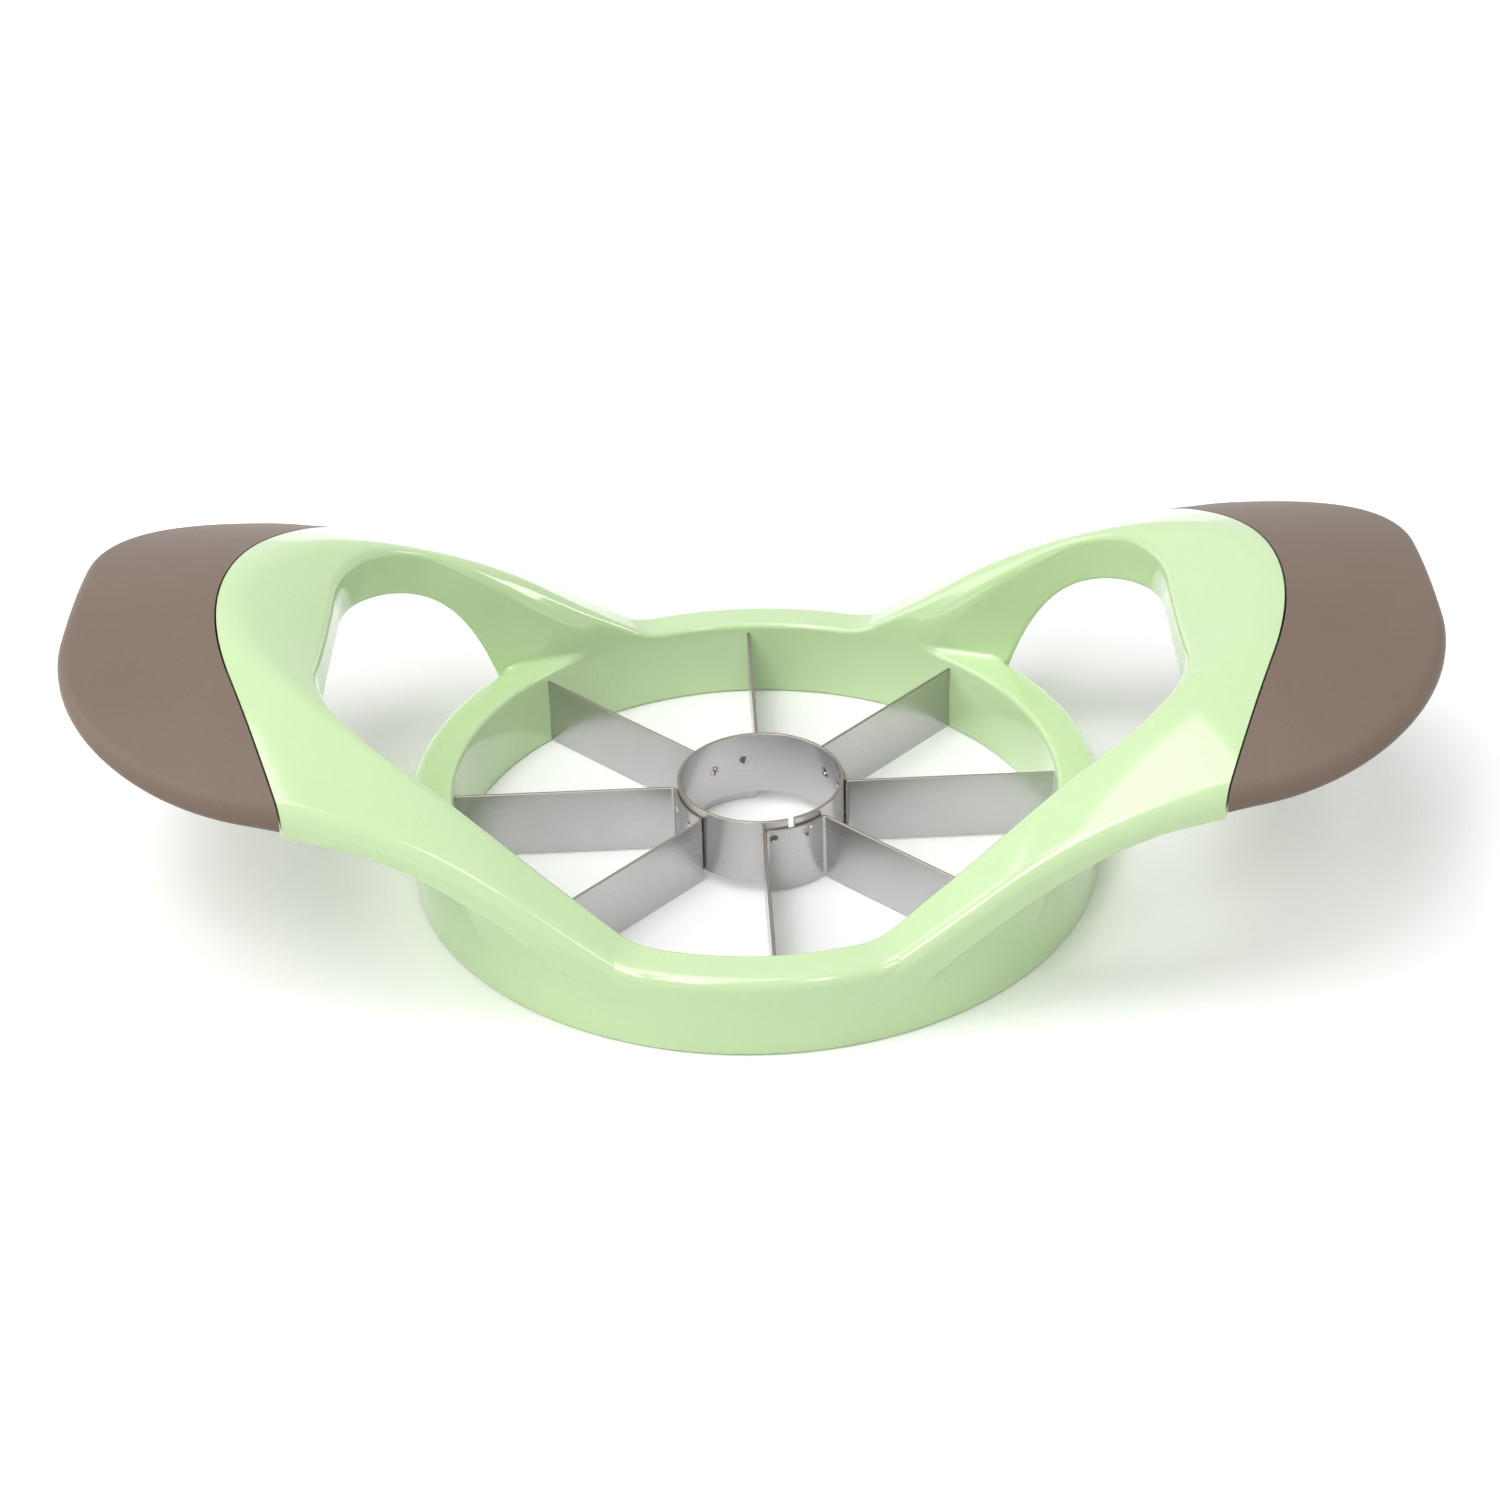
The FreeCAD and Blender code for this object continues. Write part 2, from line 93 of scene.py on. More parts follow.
class Tree:
    """A shader or geometry tree that is being written."""

    def __init__(self, nodes_and_links):
        self.made = nodes_and_links

    def node(self, kind, settings=None, **sockets):
        """Add a node: set its settings, then give its sockets values or wires.

        A socket is named by its label with spaces as underscores, or by its
        number as in_0.
        """
        node = self.made.nodes.new(kind)
        for name, value in (settings or {}).items():
            setattr(node, name, value)
        for name, value in sockets.items():
            key = int(name[3:]) if name.startswith("in_") else name.replace("_", " ")
            self.feed(node.inputs[key], value)
        return node

    def feed(self, socket, value):
        """Link a wire to a socket, or set the socket's own value."""
        if isinstance(value, Wire):
            self.made.links.new(value.output, socket)
        else:
            socket.default_value = value

    def wire(self, kind, settings=None, output=0, **sockets):
        """Add a node and take one of its outputs, by number or name, as a wire."""
        return Wire(self, self.node(kind, settings, **sockets).outputs[output])

    def math(self, operation, *values, kind="ShaderNodeMath"):
        sockets = {f"in_{number}": value for number, value in enumerate(values)}
        return self.wire(kind, {"operation": operation}, **sockets)

    def vector_math(self, operation, *values):
        """Add a Vector Math node whose result is a vector."""
        return self.math(operation, *values, kind="ShaderNodeVectorMath")


def largest(a, b):
    return a.tree.math("MAXIMUM", a, b)


def smallest(a, b):
    return a.tree.math("MINIMUM", a, b)


def hypotenuse(a, b):
    return a.tree.math("SQRT", a * a + b * b)


def between(value, low, high):
    return largest(smallest(value, high), low)


def ease(value):
    """Smooth step from 0 to 1."""
    part = between(value, 0.0, 1.0)
    return part * part * (3.0 - 2.0 * part)


def either(test, if_true, if_false):
    """Pick a value by a test that is 0 or 1."""
    return (if_true - if_false) * test + if_false


def scaled(vector, factor):
    """A vector made longer or shorter."""
    return vector.tree.wire(
        "ShaderNodeVectorMath", {"operation": "SCALE"}, in_0=vector, Scale=factor)


def split(vector):
    """A vector's X, Y and Z."""
    node = vector.tree.node("ShaderNodeSeparateXYZ", Vector=vector)
    return [Wire(vector.tree, output) for output in node.outputs]

# %% [markdown]
# ## Sizes
#
# Blender works in metres and the sizes below are millimetres, as on a drawing,
# so each is multiplied by MM where it meets the scene. The ring's radius, the
# handles' length and the heights of tube and blades are read from the frame's
# boxes. The rest are the arcs and angles of the moulding. Places along a handle
# are counted from the ring's outer wall.

# %% Sizes read from the frame
MM = 0.001


def frame_box(node):
    """Lowest and highest corner of a CAD node in millimetres."""
    low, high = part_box(node)
    return low / MM, high / MM


_, frame_high = frame_box("frame")
_, grip_high = frame_box("grip_right")
tube_low, tube_high = frame_box("core_tube")
blade_low, blade_high = frame_box("blade_strip_1")

RING_R = frame_high.y
HANDLE_LENGTH = grip_high.x - RING_R
TUBE_R = (tube_high.x - tube_low.x) / 2
TUBE_FOOT = tube_low.z
TUBE_TOP = tube_high.z
BLADE_FOOT = blade_low.z
BLADE_TOP = blade_high.z
print(f"ring {RING_R:.2f}, handle {HANDLE_LENGTH:.2f}, tube {TUBE_R:.2f} mm in radius")

# %% Sizes of the moulding
RING_WALL = 7.3
RING_HEIGHT = 12.7
BORE_DRAFT = 0.6  # the bore's radius grows by this much towards the foot
FOOT_ROUND = 0.6
MOUTH_ROUND = 0.9
MOUTH_BREAK = 2.5  # softens the line where the bell leaves the bore

TIP_HEIGHT = 46.0
TIP_THICKNESS = 5.0
TOP_RUNS = (-39.8, 41.3, -1.7, 62.8)  # start, first and last angle, radius of the bend
UNDER_RUNS = (-32.2, 34.6, 11.0, 53.0)
NOSE_R = 30.0
NOSE_NARROWING = 11.5  # a handle's end is this much narrower than the ring, on each side
WAIST_R = 240.0  # hollow of a handle's side
HANDLE_ROOT = -42.0

CROWN_R = 74.0  # arch of the top face across the handle
CROWN_FADE = (-62.5, 8.0)  # the arch grows between these places
CROWN_OPENS_AT = 18.0  # from here on its radius grows
CROWN_OPENING = 0.5  # by this much for each millimetre
UNDER_CROWN_R = 200.0
UNDER_CROWN_FADE = (-44.0, -6.0)
WEB_DROP = 16.0  # how deep the web reaches beside the finger hole
WEB_RUN = 2.7
WEB_WIDTH = 10.0
WEB_FLOOR = 5.0
WEB_OUTER_DROP = 4.0  # the web is this deep away from the finger hole
SKIRT_DROP = 1.5  # the outer wall is this much deeper where it leaves the ring
SKIRT_DEPTH = 4.0
SKIRT_RUN = 20.0

HOLE_LENGTH = 9.9
HOLE_NOSE_R = 20.3
HOLE_SIDE_ANGLE = 16.4
HOLE_SIDE_INSET = 9.4
BELL_R = 50.0
BELL_LENGTH = 21.5

OUTER_ROUND = 1.8
HOLE_ROUND = 0.9
PARTING_ROUND = 0.45
PARTING_START = -34.0  # up to here the lower edge is as round as the ring's,
PARTING_FADE = 9.0  # and this far on it is as sharp as a parting line
JOINT_ROUND = 1.2  # hollow where a band runs into the ring

SEAM_AT = 24.8
SEAM_R = 52.0
SEAM_SIDE_ANGLE = 22.5
SEAM_GROOVE = 0.3
GRIP_TOP_ROUND = 1.7
GRIP_UNDER_ROUND = 1.4
GRIP_UNDER_STEP = 0.4

# %% [markdown]
# ## The moulding as a distance
#
# The moulding is a ring, two hollow loops and a bell-shaped mouth that all run
# into each other with soft corners. Meshing each and joining them would leave a
# hard line at every joint. Instead, the shape is a formula: for any point it
# says how far away the surface is, negative inside the plastic. Joining is the
# smaller of two distances, cutting is the larger, and both can round the corner
# that they make. Both handles are alike on both sides, so the formula reads the
# point's X and Y without their signs.

# %% Corners and arcs
def rounded(a, b, radius):
    """Keep what is inside both surfaces, with the corner between them rounded."""
    past = hypotenuse(largest(a + radius, 0.0), largest(b + radius, 0.0))
    return smallest(largest(a, b), -radius) + past


def filled(a, b, radius):
    """Join two bodies, with the corner between them filled."""
    short = hypotenuse(largest(radius - a, 0.0), largest(radius - b, 0.0))
    return largest(smallest(a, b), radius) - short


def bend(along, up, low, high, radius):
    """Distance to an arc that runs on straight past both ends.

    The arc is about the origin, and low and high are its ends' angles from the
    along axis towards the up axis.
    """
    turn = between(along.tree.math("ARCTAN2", up, along), low, high)
    cosine = along.tree.math("COSINE", turn)
    sine = along.tree.math("SINE", turn)
    return along * cosine + up * sine - radius, cosine


def bend_centre(start, first_angle, last_angle, radius, tip_height):
    """Centre of the arc between a handle's two straight runs, seen from the side."""
    first, last = math.tan(math.radians(first_angle)), math.tan(math.radians(last_angle))
    rise = tip_height - RING_HEIGHT + first * start - last * HANDLE_LENGTH
    corner_x = rise / (first - last)
    corner_z = RING_HEIGHT + first * (corner_x - start)
    tangent = radius * math.tan(math.radians((first_angle - last_angle) / 2))
    angle = math.radians(first_angle)
    start_x = corner_x - tangent * math.cos(angle)
    start_z = corner_z - tangent * math.sin(angle)
    return start_x + radius * math.sin(angle), start_z - radius * math.cos(angle)

# %% Faces of a handle
def handle_face(x, z, sag, runs, tip_height):
    """Height over a handle's bent face, which sags by sag away from the middle."""
    start, first_angle, last_angle, radius = runs
    centre_x, centre_z = bend_centre(start, first_angle, last_angle, radius, tip_height)
    low, high = -math.radians(first_angle), -math.radians(last_angle)
    return bend(z + sag - centre_z, x - RING_R - centre_x, low, high, radius)


def faded(x, fade):
    """0 to 1 between two places along a handle."""
    return ease((x - RING_R - fade[0]) / (fade[1] - fade[0]))


def over_top(x, y, z):
    """Distance over a handle's top face."""
    opening = largest(x - RING_R - CROWN_OPENS_AT, 0.0) * CROWN_OPENING
    slope = faded(x, CROWN_FADE) * y / (opening + CROWN_R)
    height, cosine = handle_face(x, z, slope * y * 0.5, TOP_RUNS, TIP_HEIGHT)
    return height / hypotenuse(slope * cosine, 1.0)


def hole_line(x, y):
    """Distance outside the straight side of a finger hole."""
    angle = math.radians(90 - HOLE_SIDE_ANGLE)
    return x * math.cos(angle) + y * math.sin(angle) - (RING_R - HOLE_SIDE_INSET)


def under_face(x, y, z, step):
    """Distance under a handle's underside, with the web that carries it into the ring."""
    slope = faded(x, UNDER_CROWN_FADE) * y / UNDER_CROWN_R
    past_ring = largest(hypotenuse(x, y) - RING_R, 0.0)
    near_ring = x.tree.math("EXPONENT", past_ring * (-1.0 / WEB_RUN))
    depth = -past_outline(x, y)
    by_hole = 1.0 - ease(hole_line(x, y) / WEB_WIDTH)
    web = (by_hole * (WEB_DROP - WEB_OUTER_DROP) + WEB_OUTER_DROP) * near_ring
    skirt = (1.0 - ease(depth / SKIRT_DEPTH)) * (1.0 - ease(past_ring / SKIRT_RUN)) * SKIRT_DROP
    sag = slope * y * 0.5 + web + skirt - step
    height, cosine = handle_face(x, z, sag, UNDER_RUNS, TIP_HEIGHT - TIP_THICKNESS)
    steep = hypotenuse(web * (1.0 / WEB_RUN) * cosine, 1.0)
    return largest(WEB_FLOOR - z, -height / steep)

# %% Outlines from above
def past_outline(x, y):
    """Distance outside the ring and its handles, seen from above."""
    nose = Vector((RING_R + HANDLE_LENGTH - NOSE_R, RING_R - NOSE_NARROWING - NOSE_R))
    to_ring, to_nose, span = RING_R + WAIST_R, NOSE_R + WAIST_R, nose.length
    along = (to_ring ** 2 - to_nose ** 2 + span ** 2) / (2 * span)
    across = math.sqrt(to_ring ** 2 - along ** 2)
    axis = nose.normalized()
    waist = axis * along + Vector((-axis.y, axis.x)) * across
    hip = waist - nose

    in_ring = hypotenuse(x, y) - RING_R
    in_waist = WAIST_R - hypotenuse(x - waist.x, y - waist.y)
    in_nose, _ = bend(x - nose.x, y - nose.y, 0.0, math.atan2(hip.y, hip.x), NOSE_R)
    past_hip = (x - nose.x) * hip.y - (y - nose.y) * hip.x > 0.0
    past_root = x * waist.y - y * waist.x > 0.0
    return either(past_root, either(past_hip, in_nose, in_waist), in_ring)


def past_hole(x, y):
    """Distance outside the finger hole, seen from above."""
    nose_x = RING_R + HOLE_LENGTH - HOLE_NOSE_R
    angle = math.radians(90 - HOLE_SIDE_ANGLE)
    offset = RING_R - HOLE_SIDE_INSET - HOLE_NOSE_R
    nose_y = (offset - nose_x * math.cos(angle)) / math.sin(angle)
    return bend(x - nose_x, y - nose_y, 0.0, angle, HOLE_NOSE_R)[0]

# %% Ring, loop, mouth and soft end
def ring_and_loops(x, y, z):
    """The ring without its bore, with both handles.

    Over the ring, ring and handle share one outer wall, so their heights are
    joined first and the wall's edge is rounded afterwards. Past the ring only
    the handle is left.
    """
    over = over_top(x, y, z)
    under = under_face(x, y, z, 0.0)
    outside = past_outline(x, y)
    in_hole = -past_hole(x, y)
    before_root = RING_R + HANDLE_ROOT - x
    past_ring = hypotenuse(x, y) - RING_R
    ring_level = largest(z - RING_HEIGHT, -z)
    along = x - RING_R - PARTING_START
    parting = either(ease(along / PARTING_FADE), PARTING_ROUND, OUTER_ROUND)

    by_hole = in_hole > outside
    outer_corner = either(over > under, OUTER_ROUND, parting)
    corner = either(by_hole, HOLE_ROUND, outer_corner)
    loop = rounded(largest(over, under), largest(outside, in_hole), corner)
    loop = largest(loop, before_root)

    loop_level = largest(rounded(largest(over, under), in_hole, HOLE_ROUND), before_root)
    level = filled(ring_level, loop_level, JOINT_ROUND)
    under_band = (under > over) * (ring_level > under) * (in_hole < 0.0)
    top_corner = either(under_band, parting, OUTER_ROUND)
    corner = either(z < RING_HEIGHT / 2, FOOT_ROUND, top_corner)
    ring = rounded(level, past_ring, corner)
    return smallest(ring, loop)


def mouth(x, y, z):
    """Distance inside the bore and the bell above it."""
    bore_r = RING_R - RING_WALL
    reach, rise = RING_R + BELL_LENGTH - bore_r, TIP_HEIGHT - RING_HEIGHT
    chord = math.hypot(reach, rise)
    to_centre = math.sqrt(BELL_R ** 2 - chord ** 2 / 4) / chord
    centre_r = bore_r + reach / 2 + rise * to_centre
    centre_z = RING_HEIGHT + rise / 2 - reach * to_centre
    radius = hypotenuse(x, y)
    bell = hypotenuse(radius - centre_r, z - centre_z) - BELL_R
    bore = (RING_HEIGHT - z) * (BORE_DRAFT / RING_HEIGHT) + bore_r - radius
    return rounded(bell, bore, MOUTH_BREAK)


def green_moulding(x, y, z):
    """The whole green moulding, carried on past its seams."""
    corner = either(z < RING_HEIGHT / 2, FOOT_ROUND, MOUTH_ROUND)
    return rounded(ring_and_loops(x, y, z), mouth(x, y, z), corner)


def soft_end(x, y, z):
    """A soft grip, carried on past its seam."""
    over = over_top(x, y, z)
    under = under_face(x, y, z, GRIP_UNDER_STEP)
    corner = either(over > under, GRIP_TOP_ROUND, GRIP_UNDER_ROUND)
    return rounded(largest(over, under), past_outline(x, y), corner)

# %% [markdown]
# ## From the distance to a mesh
#
# Geometry Nodes fill a block of voxels with the distance, and Volume to Mesh
# wraps a skin round the plastic. Fine voxels catch every soft corner but cost
# far too many faces on the flat stretches, so Decimate thins those out. The
# points that are left lie a little off the true surface, which would ripple in a
# glossy moulding. So a second tree moves each point along the slope of the
# distance onto the surface, and keeps the slope as the way that it faces there.
#
# The plastic meets the soft end at a crisp edge, which voxels would round off. So
# both mouldings are made too long, and a Boolean cuts them with a tall block
# whose curved side is the seam.

# %% A node group for each shape
SLOPE_STEP = 0.08  # millimetres to either side, for the slope
POLISH_STEPS = 2
SKIN_LEVEL = 0.5  # density of the volume where the skin is
LONGEST_STRIDE = 0.3  # millimetres that a point may move in one step
FLAT_SLOPE = 0.1  # a slope flatter than this counts as this


def distance_group(name, shape):
    """Wrap a shape's distance in a node group with a Point and a Distance."""
    group = bpy.data.node_groups.new(name, "GeometryNodeTree")
    group.interface.new_socket("Point", in_out="INPUT", socket_type="NodeSocketVector")
    group.interface.new_socket("Distance", in_out="OUTPUT", socket_type="NodeSocketFloat")
    tree = Tree(group)
    x, y, z = split(tree.wire("NodeGroupInput", output="Point"))
    distance = shape(tree.math("ABSOLUTE", x), tree.math("ABSOLUTE", y), z)
    tree.node("NodeGroupOutput", Distance=distance)
    return group


def modifier_tree(name, *inputs):
    """Start a modifier's tree that takes a Geometry, these inputs and a Material.

    Returns the tree and its inputs as wires.
    """
    made = bpy.data.node_groups.new(name, "GeometryNodeTree")
    for label, kind in (("Geometry", "Geometry"), *inputs, ("Material", "Material")):
        made.interface.new_socket(label, in_out="INPUT", socket_type="NodeSocket" + kind)
    made.interface.new_socket("Geometry", in_out="OUTPUT", socket_type="NodeSocketGeometry")
    tree = Tree(made)
    given = tree.node("NodeGroupInput")
    return tree, {output.name: Wire(tree, output) for output in given.outputs if output.name}


def finish_tree(tree, geometry, given):
    """End a modifier's tree: no instances are left, and every face has the material."""
    geometry = tree.wire("GeometryNodeRealizeInstances", Geometry=geometry)
    geometry = tree.wire(
        "GeometryNodeSetMaterial", Geometry=geometry, Material=given["Material"])
    tree.node("NodeGroupOutput", Geometry=geometry)
    return tree.made


def kept(geometry, name, value, kind, domain):
    """Keep a value on a geometry as an attribute."""
    return geometry.tree.wire(
        "GeometryNodeStoreNamedAttribute", {"data_type": kind, "domain": domain},
        Geometry=geometry, Name=name, Value=value)


def millimetres(tree):
    """Where a point is, in millimetres."""
    return tree.vector_math("DIVIDE", tree.wire("GeometryNodeInputPosition"), (MM, MM, MM))


def skin_tree(group):
    """Fill a block of voxels with a distance and wrap a skin round the shape."""
    tree, given = modifier_tree(
        group.name + "_skin", ("Low Corner", "Vector"), ("High Corner", "Vector"),
        ("Voxels X", "Int"), ("Voxels Y", "Int"), ("Voxels Z", "Int"))
    distance = tree.wire("GeometryNodeGroup", {"node_tree": group}, Point=millimetres(tree))
    block = tree.wire(
        "GeometryNodeVolumeCube", Density=SKIN_LEVEL - distance,
        Min=given["Low Corner"], Max=given["High Corner"], Resolution_X=given["Voxels X"],
        Resolution_Y=given["Voxels Y"], Resolution_Z=given["Voxels Z"])
    skin = tree.wire(
        "GeometryNodeVolumeToMesh", {"resolution_mode": "GRID"}, Volume=block, Threshold=SKIN_LEVEL)
    return finish_tree(tree, skin, given)


def polish_tree(group):
    """Move a skin's points onto the surface and keep the way that it faces."""
    tree, given = modifier_tree(group.name + "_polish")
    point = millimetres(tree)

    def distance(place):
        return tree.wire("GeometryNodeGroup", {"node_tree": group}, Point=place)

    def slope():
        sides = []
        for axis in range(3):
            step = [SLOPE_STEP if axis == along else 0.0 for along in range(3)]
            ahead = distance(tree.vector_math("ADD", point, step))
            behind = distance(tree.vector_math("SUBTRACT", point, step))
            sides.append((ahead - behind) / (2 * SLOPE_STEP))
        return tree.wire("ShaderNodeCombineXYZ", X=sides[0], Y=sides[1], Z=sides[2])

    skin = given["Geometry"]
    for _ in range(POLISH_STEPS):
        way = slope()
        steepness = tree.wire(
            "ShaderNodeVectorMath", {"operation": "DOT_PRODUCT"}, "Value", in_0=way, in_1=way)
        stride = distance(point) / largest(steepness, FLAT_SLOPE)
        stride = between(stride, -LONGEST_STRIDE, LONGEST_STRIDE) * -MM
        skin = tree.wire("GeometryNodeSetPosition", Geometry=skin, Offset=scaled(way, stride))
    slopes = tree.vector_math("NORMALIZE", slope())
    skin = kept(skin, "slope", slopes, "FLOAT_VECTOR", "POINT")
    slopes = tree.wire(
        "GeometryNodeInputNamedAttribute", {"data_type": "FLOAT_VECTOR"}, Name="slope")
    skin = kept(skin, "facing", slopes, "FLOAT_VECTOR", "CORNER")
    skin = kept(skin, "moulded", True, "BOOLEAN", "FACE")
    return finish_tree(tree, skin, given)

# %% Modifiers and finished meshes
CLEAR = 10.0  # how far a cutting block runs past what it cuts
SEAM_SEGMENTS = 64


def metres(values):
    """Millimetres as metres."""
    return [value * MM for value in values]


def new_object(name, data):
    made = bpy.data.objects.new(name, data)
    bpy.context.scene.collection.objects.link(made)
    return made


def new_mesh(name, points, faces):
    """A mesh from points in metres and faces."""
    mesh = bpy.data.meshes.new(name)
    mesh.from_pydata(points, [], faces)
    return mesh


def add_tree(piece, tree, **sockets):
    """Put a geometry tree on a piece and set its named inputs by their identifiers."""
    modifier = piece.modifiers.new(tree.name, "NODES")
    modifier.node_group = tree
    inputs = {item.name: item.identifier
              for item in tree.interface.items_tree if item.in_out == "INPUT"}
    for name, value in sockets.items():
        modifier[inputs[name.replace("_", " ")]] = value


def smooth(mesh):
    """Shade every face smooth."""
    mesh.polygons.foreach_set("use_smooth", [True] * len(mesh.polygons))


def plain_mesh(piece):
    """Turn a piece and its modifiers into a smooth plain mesh of the same name."""
    graph = bpy.context.evaluated_depsgraph_get()
    mesh = bpy.data.meshes.new_from_object(piece.evaluated_get(graph))
    name = piece.name
    bpy.data.objects.remove(piece)
    mesh.name = name
    smooth(mesh)
    triangles = sum(len(face.vertices) - 2 for face in mesh.polygons)
    print(f"{name}: {triangles} triangles")
    return new_object(name, mesh)


def prism(name, outline, low, high):
    """An upright block over an outline that runs anticlockwise, in millimetres."""
    count = len(outline)
    corners = [metres((x, y, z)) for z in (low, high) for x, y in outline]
    sides = [(n, (n + 1) % count, (n + 1) % count + count, n + count) for n in range(count)]
    caps = [tuple(reversed(range(count))), tuple(range(count, 2 * count))]
    return new_object(name, new_mesh(name, corners, sides + caps))


def beyond_seam(offset):
    """The space past the right handle's seam, moved out by offset."""
    centre = RING_R + SEAM_AT + offset - SEAM_R
    far_x, far_y = RING_R + HANDLE_LENGTH + CLEAR, RING_R + CLEAR
    side = math.radians(SEAM_SIDE_ANGLE)
    turns = [side * (1 - 2 * number / SEAM_SEGMENTS) for number in range(SEAM_SEGMENTS + 1)]
    arc = [(centre + SEAM_R * math.cos(turn), SEAM_R * math.sin(turn)) for turn in turns]
    arc_x, arc_y = arc[0]
    side_x = arc_x - (far_y - arc_y) * math.tan(side)
    ends = [(side_x, -far_y), (far_x, -far_y), (far_x, far_y), (side_x, far_y)]
    return prism("beyond_seam", arc + ends, -CLEAR, frame_high.z + CLEAR)

# %% Skin, thin, polish, cut
SHORTEST_SLOPE = 0.5  # a kept slope should be 1 long, and a shorter one was lost


def moulded(name, group, low, high, voxel, keep, material, cutter, cut):
    """A finished moulding: skinned, thinned, polished and cut at its seam."""
    piece = new_object(name, bpy.data.meshes.new(name))
    wide, deep, tall = (round((far - near) / voxel) + 1 for near, far in zip(low, high))
    add_tree(piece, skin_tree(group), Low_Corner=metres(low), High_Corner=metres(high),
             Voxels_X=wide, Voxels_Y=deep, Voxels_Z=tall, Material=material)
    thin = piece.modifiers.new("thin", "DECIMATE")
    thin.ratio = keep
    add_tree(piece, polish_tree(group), Material=material)
    seam = piece.modifiers.new("seam", "BOOLEAN")
    seam.operation = cut
    seam.solver = "EXACT"
    seam.object = cutter
    made = plain_mesh(piece)
    bpy.data.objects.remove(cutter)
    made.data.polygons.foreach_set("material_index", [0] * len(made.data.polygons))
    made.data.materials.clear()
    made.data.materials.append(material)
    face_surface(made.data)
    return made


def read_numbers(items, field, width, kind=np.float32):
    """One field of many mesh elements as rows of numbers."""
    numbers = np.empty(len(items) * width, kind)
    items.foreach_get(field, numbers)
    return numbers.reshape(-1, width)


def face_surface(mesh):
    """Shade moulded faces by their kept slope, and faces made by the cut as they lie."""
    facing = read_numbers(mesh.attributes["facing"].data, "vector", 3)
    skin = read_numbers(mesh.attributes["moulded"].data, "value", 1, bool)
    sides = read_numbers(mesh.polygons, "loop_total", 1, np.int32)[:, 0]
    flat = np.repeat(read_numbers(mesh.polygons, "normal", 3), sides, axis=0)
    by_cut = ~np.repeat(skin[:, 0], sides)
    lost = np.linalg.norm(facing, axis=1) < SHORTEST_SLOPE
    print(f"{mesh.name}: {by_cut.sum()} corners on the cut, "
          f"{(lost & ~by_cut).sum()} without a slope")
    facing[by_cut | lost] = flat[by_cut | lost]
    mesh.normals_split_custom_set(facing.tolist())
    for name in ("facing", "slope", "moulded"):
        mesh.attributes.remove(mesh.attributes[name])

# %% Left-hand copies
def across_middle(points):
    """Points moved to the other side of the slicer."""
    return [(-x, y, z) for x, y, z in points]


def turned_faces(mesh, first=0):
    """A mesh's faces the other way round, with their corners counted from first."""
    return [tuple(first + index for index in reversed(face.vertices)) for face in mesh.polygons]


def mirrored(piece, name):
    """A copy of a piece for the other handle, with the same shading."""
    mesh = piece.data
    points = across_middle(vertex.co for vertex in mesh.vertices)
    flipped = new_mesh(name, points, turned_faces(mesh))
    normals = across_middle(
        mesh.loops[index].normal for face in mesh.polygons for index in reversed(face.loop_indices))
    smooth(flipped)
    flipped.materials.append(mesh.materials[0])
    flipped.normals_split_custom_set(normals)
    return new_object(name, flipped)


def both_sides(block):
    """Join a cutting block to its own mirror image."""
    points = [tuple(vertex.co) for vertex in block.data.vertices]
    faces = [tuple(face.vertices) for face in block.data.polygons]
    faces += turned_faces(block.data, len(points))
    block.data = new_mesh(block.name, points + across_middle(points), faces)
    return block

# %% [markdown]
# ## The blades
#
# The eight blades are four strips. Each strip is bent twice, so that its middle
# hugs the core tube and its two ends are blades, an eighth of a turn apart. One
# strip is a path and a cross-section, and the other three are the same strip
# turned by a quarter. Geometry Nodes sweep the section along the path and place
# the copies.

# %% Sizes of the blade set
STEEL = 0.5  # thickness of the sheet
BLADE_BITE = 5.0  # how deep a blade's end sits in the ring
BLADE_BEVEL = 0.8  # height of the ground edge
BLADE_EDGE = 0.1  # thickness at the cutting edge
SPINE_ROUND = 0.1  # broken corners of the upper edge
STRIP_COUNT = 4
BEND_R = 0.75  # middle of the strip, where a tab turns into a blade
TAB_FIT = 0.02  # between a tab and the tube
ARC_STEP = math.radians(3.0)
SHARP_EDGE = math.radians(30.0)
TUBE_SEAM_GAP = 1.0  # the tube is rolled from a strip whose ends don't quite meet
TUBE_SEAM_ANGLE = 289.0
SET_TURN = 2.1  # degrees that the whole set is turned in the ring
set_centre = (tube_low.x + tube_high.x) / 2


def arc_points(centre, radius, start, end):
    """Points on an arc from the start angle to the end angle."""
    count = max(2, math.ceil(abs(end - start) / ARC_STEP))
    turns = [start + (end - start) * number / count for number in range(count + 1)]
    return [Vector((centre.x + radius * math.cos(turn), centre.y + radius * math.sin(turn)))
            for turn in turns]


def strip_path():
    """Middle line of a strip: in along X, round the tube, and out again."""
    tab_r = TUBE_R + TAB_FIT + STEEL / 2
    bend_at = Vector((math.sqrt((tab_r + BEND_R) ** 2 - BEND_R ** 2), BEND_R))
    towards = math.atan2(bend_at.y, bend_at.x)
    half_pitch = math.pi / (2 * STRIP_COUNT)
    end = Vector((RING_R - RING_WALL + BLADE_BITE, 0.0))
    half = [end] + arc_points(bend_at, BEND_R, -math.pi / 2, towards - math.pi)
    half += arc_points(Vector((0, 0)), tab_r, towards, half_pitch)[1:]
    across = Vector((math.cos(half_pitch), math.sin(half_pitch)))
    other = [2 * point.dot(across) * across - point for point in reversed(half[:-1])]
    return half + other


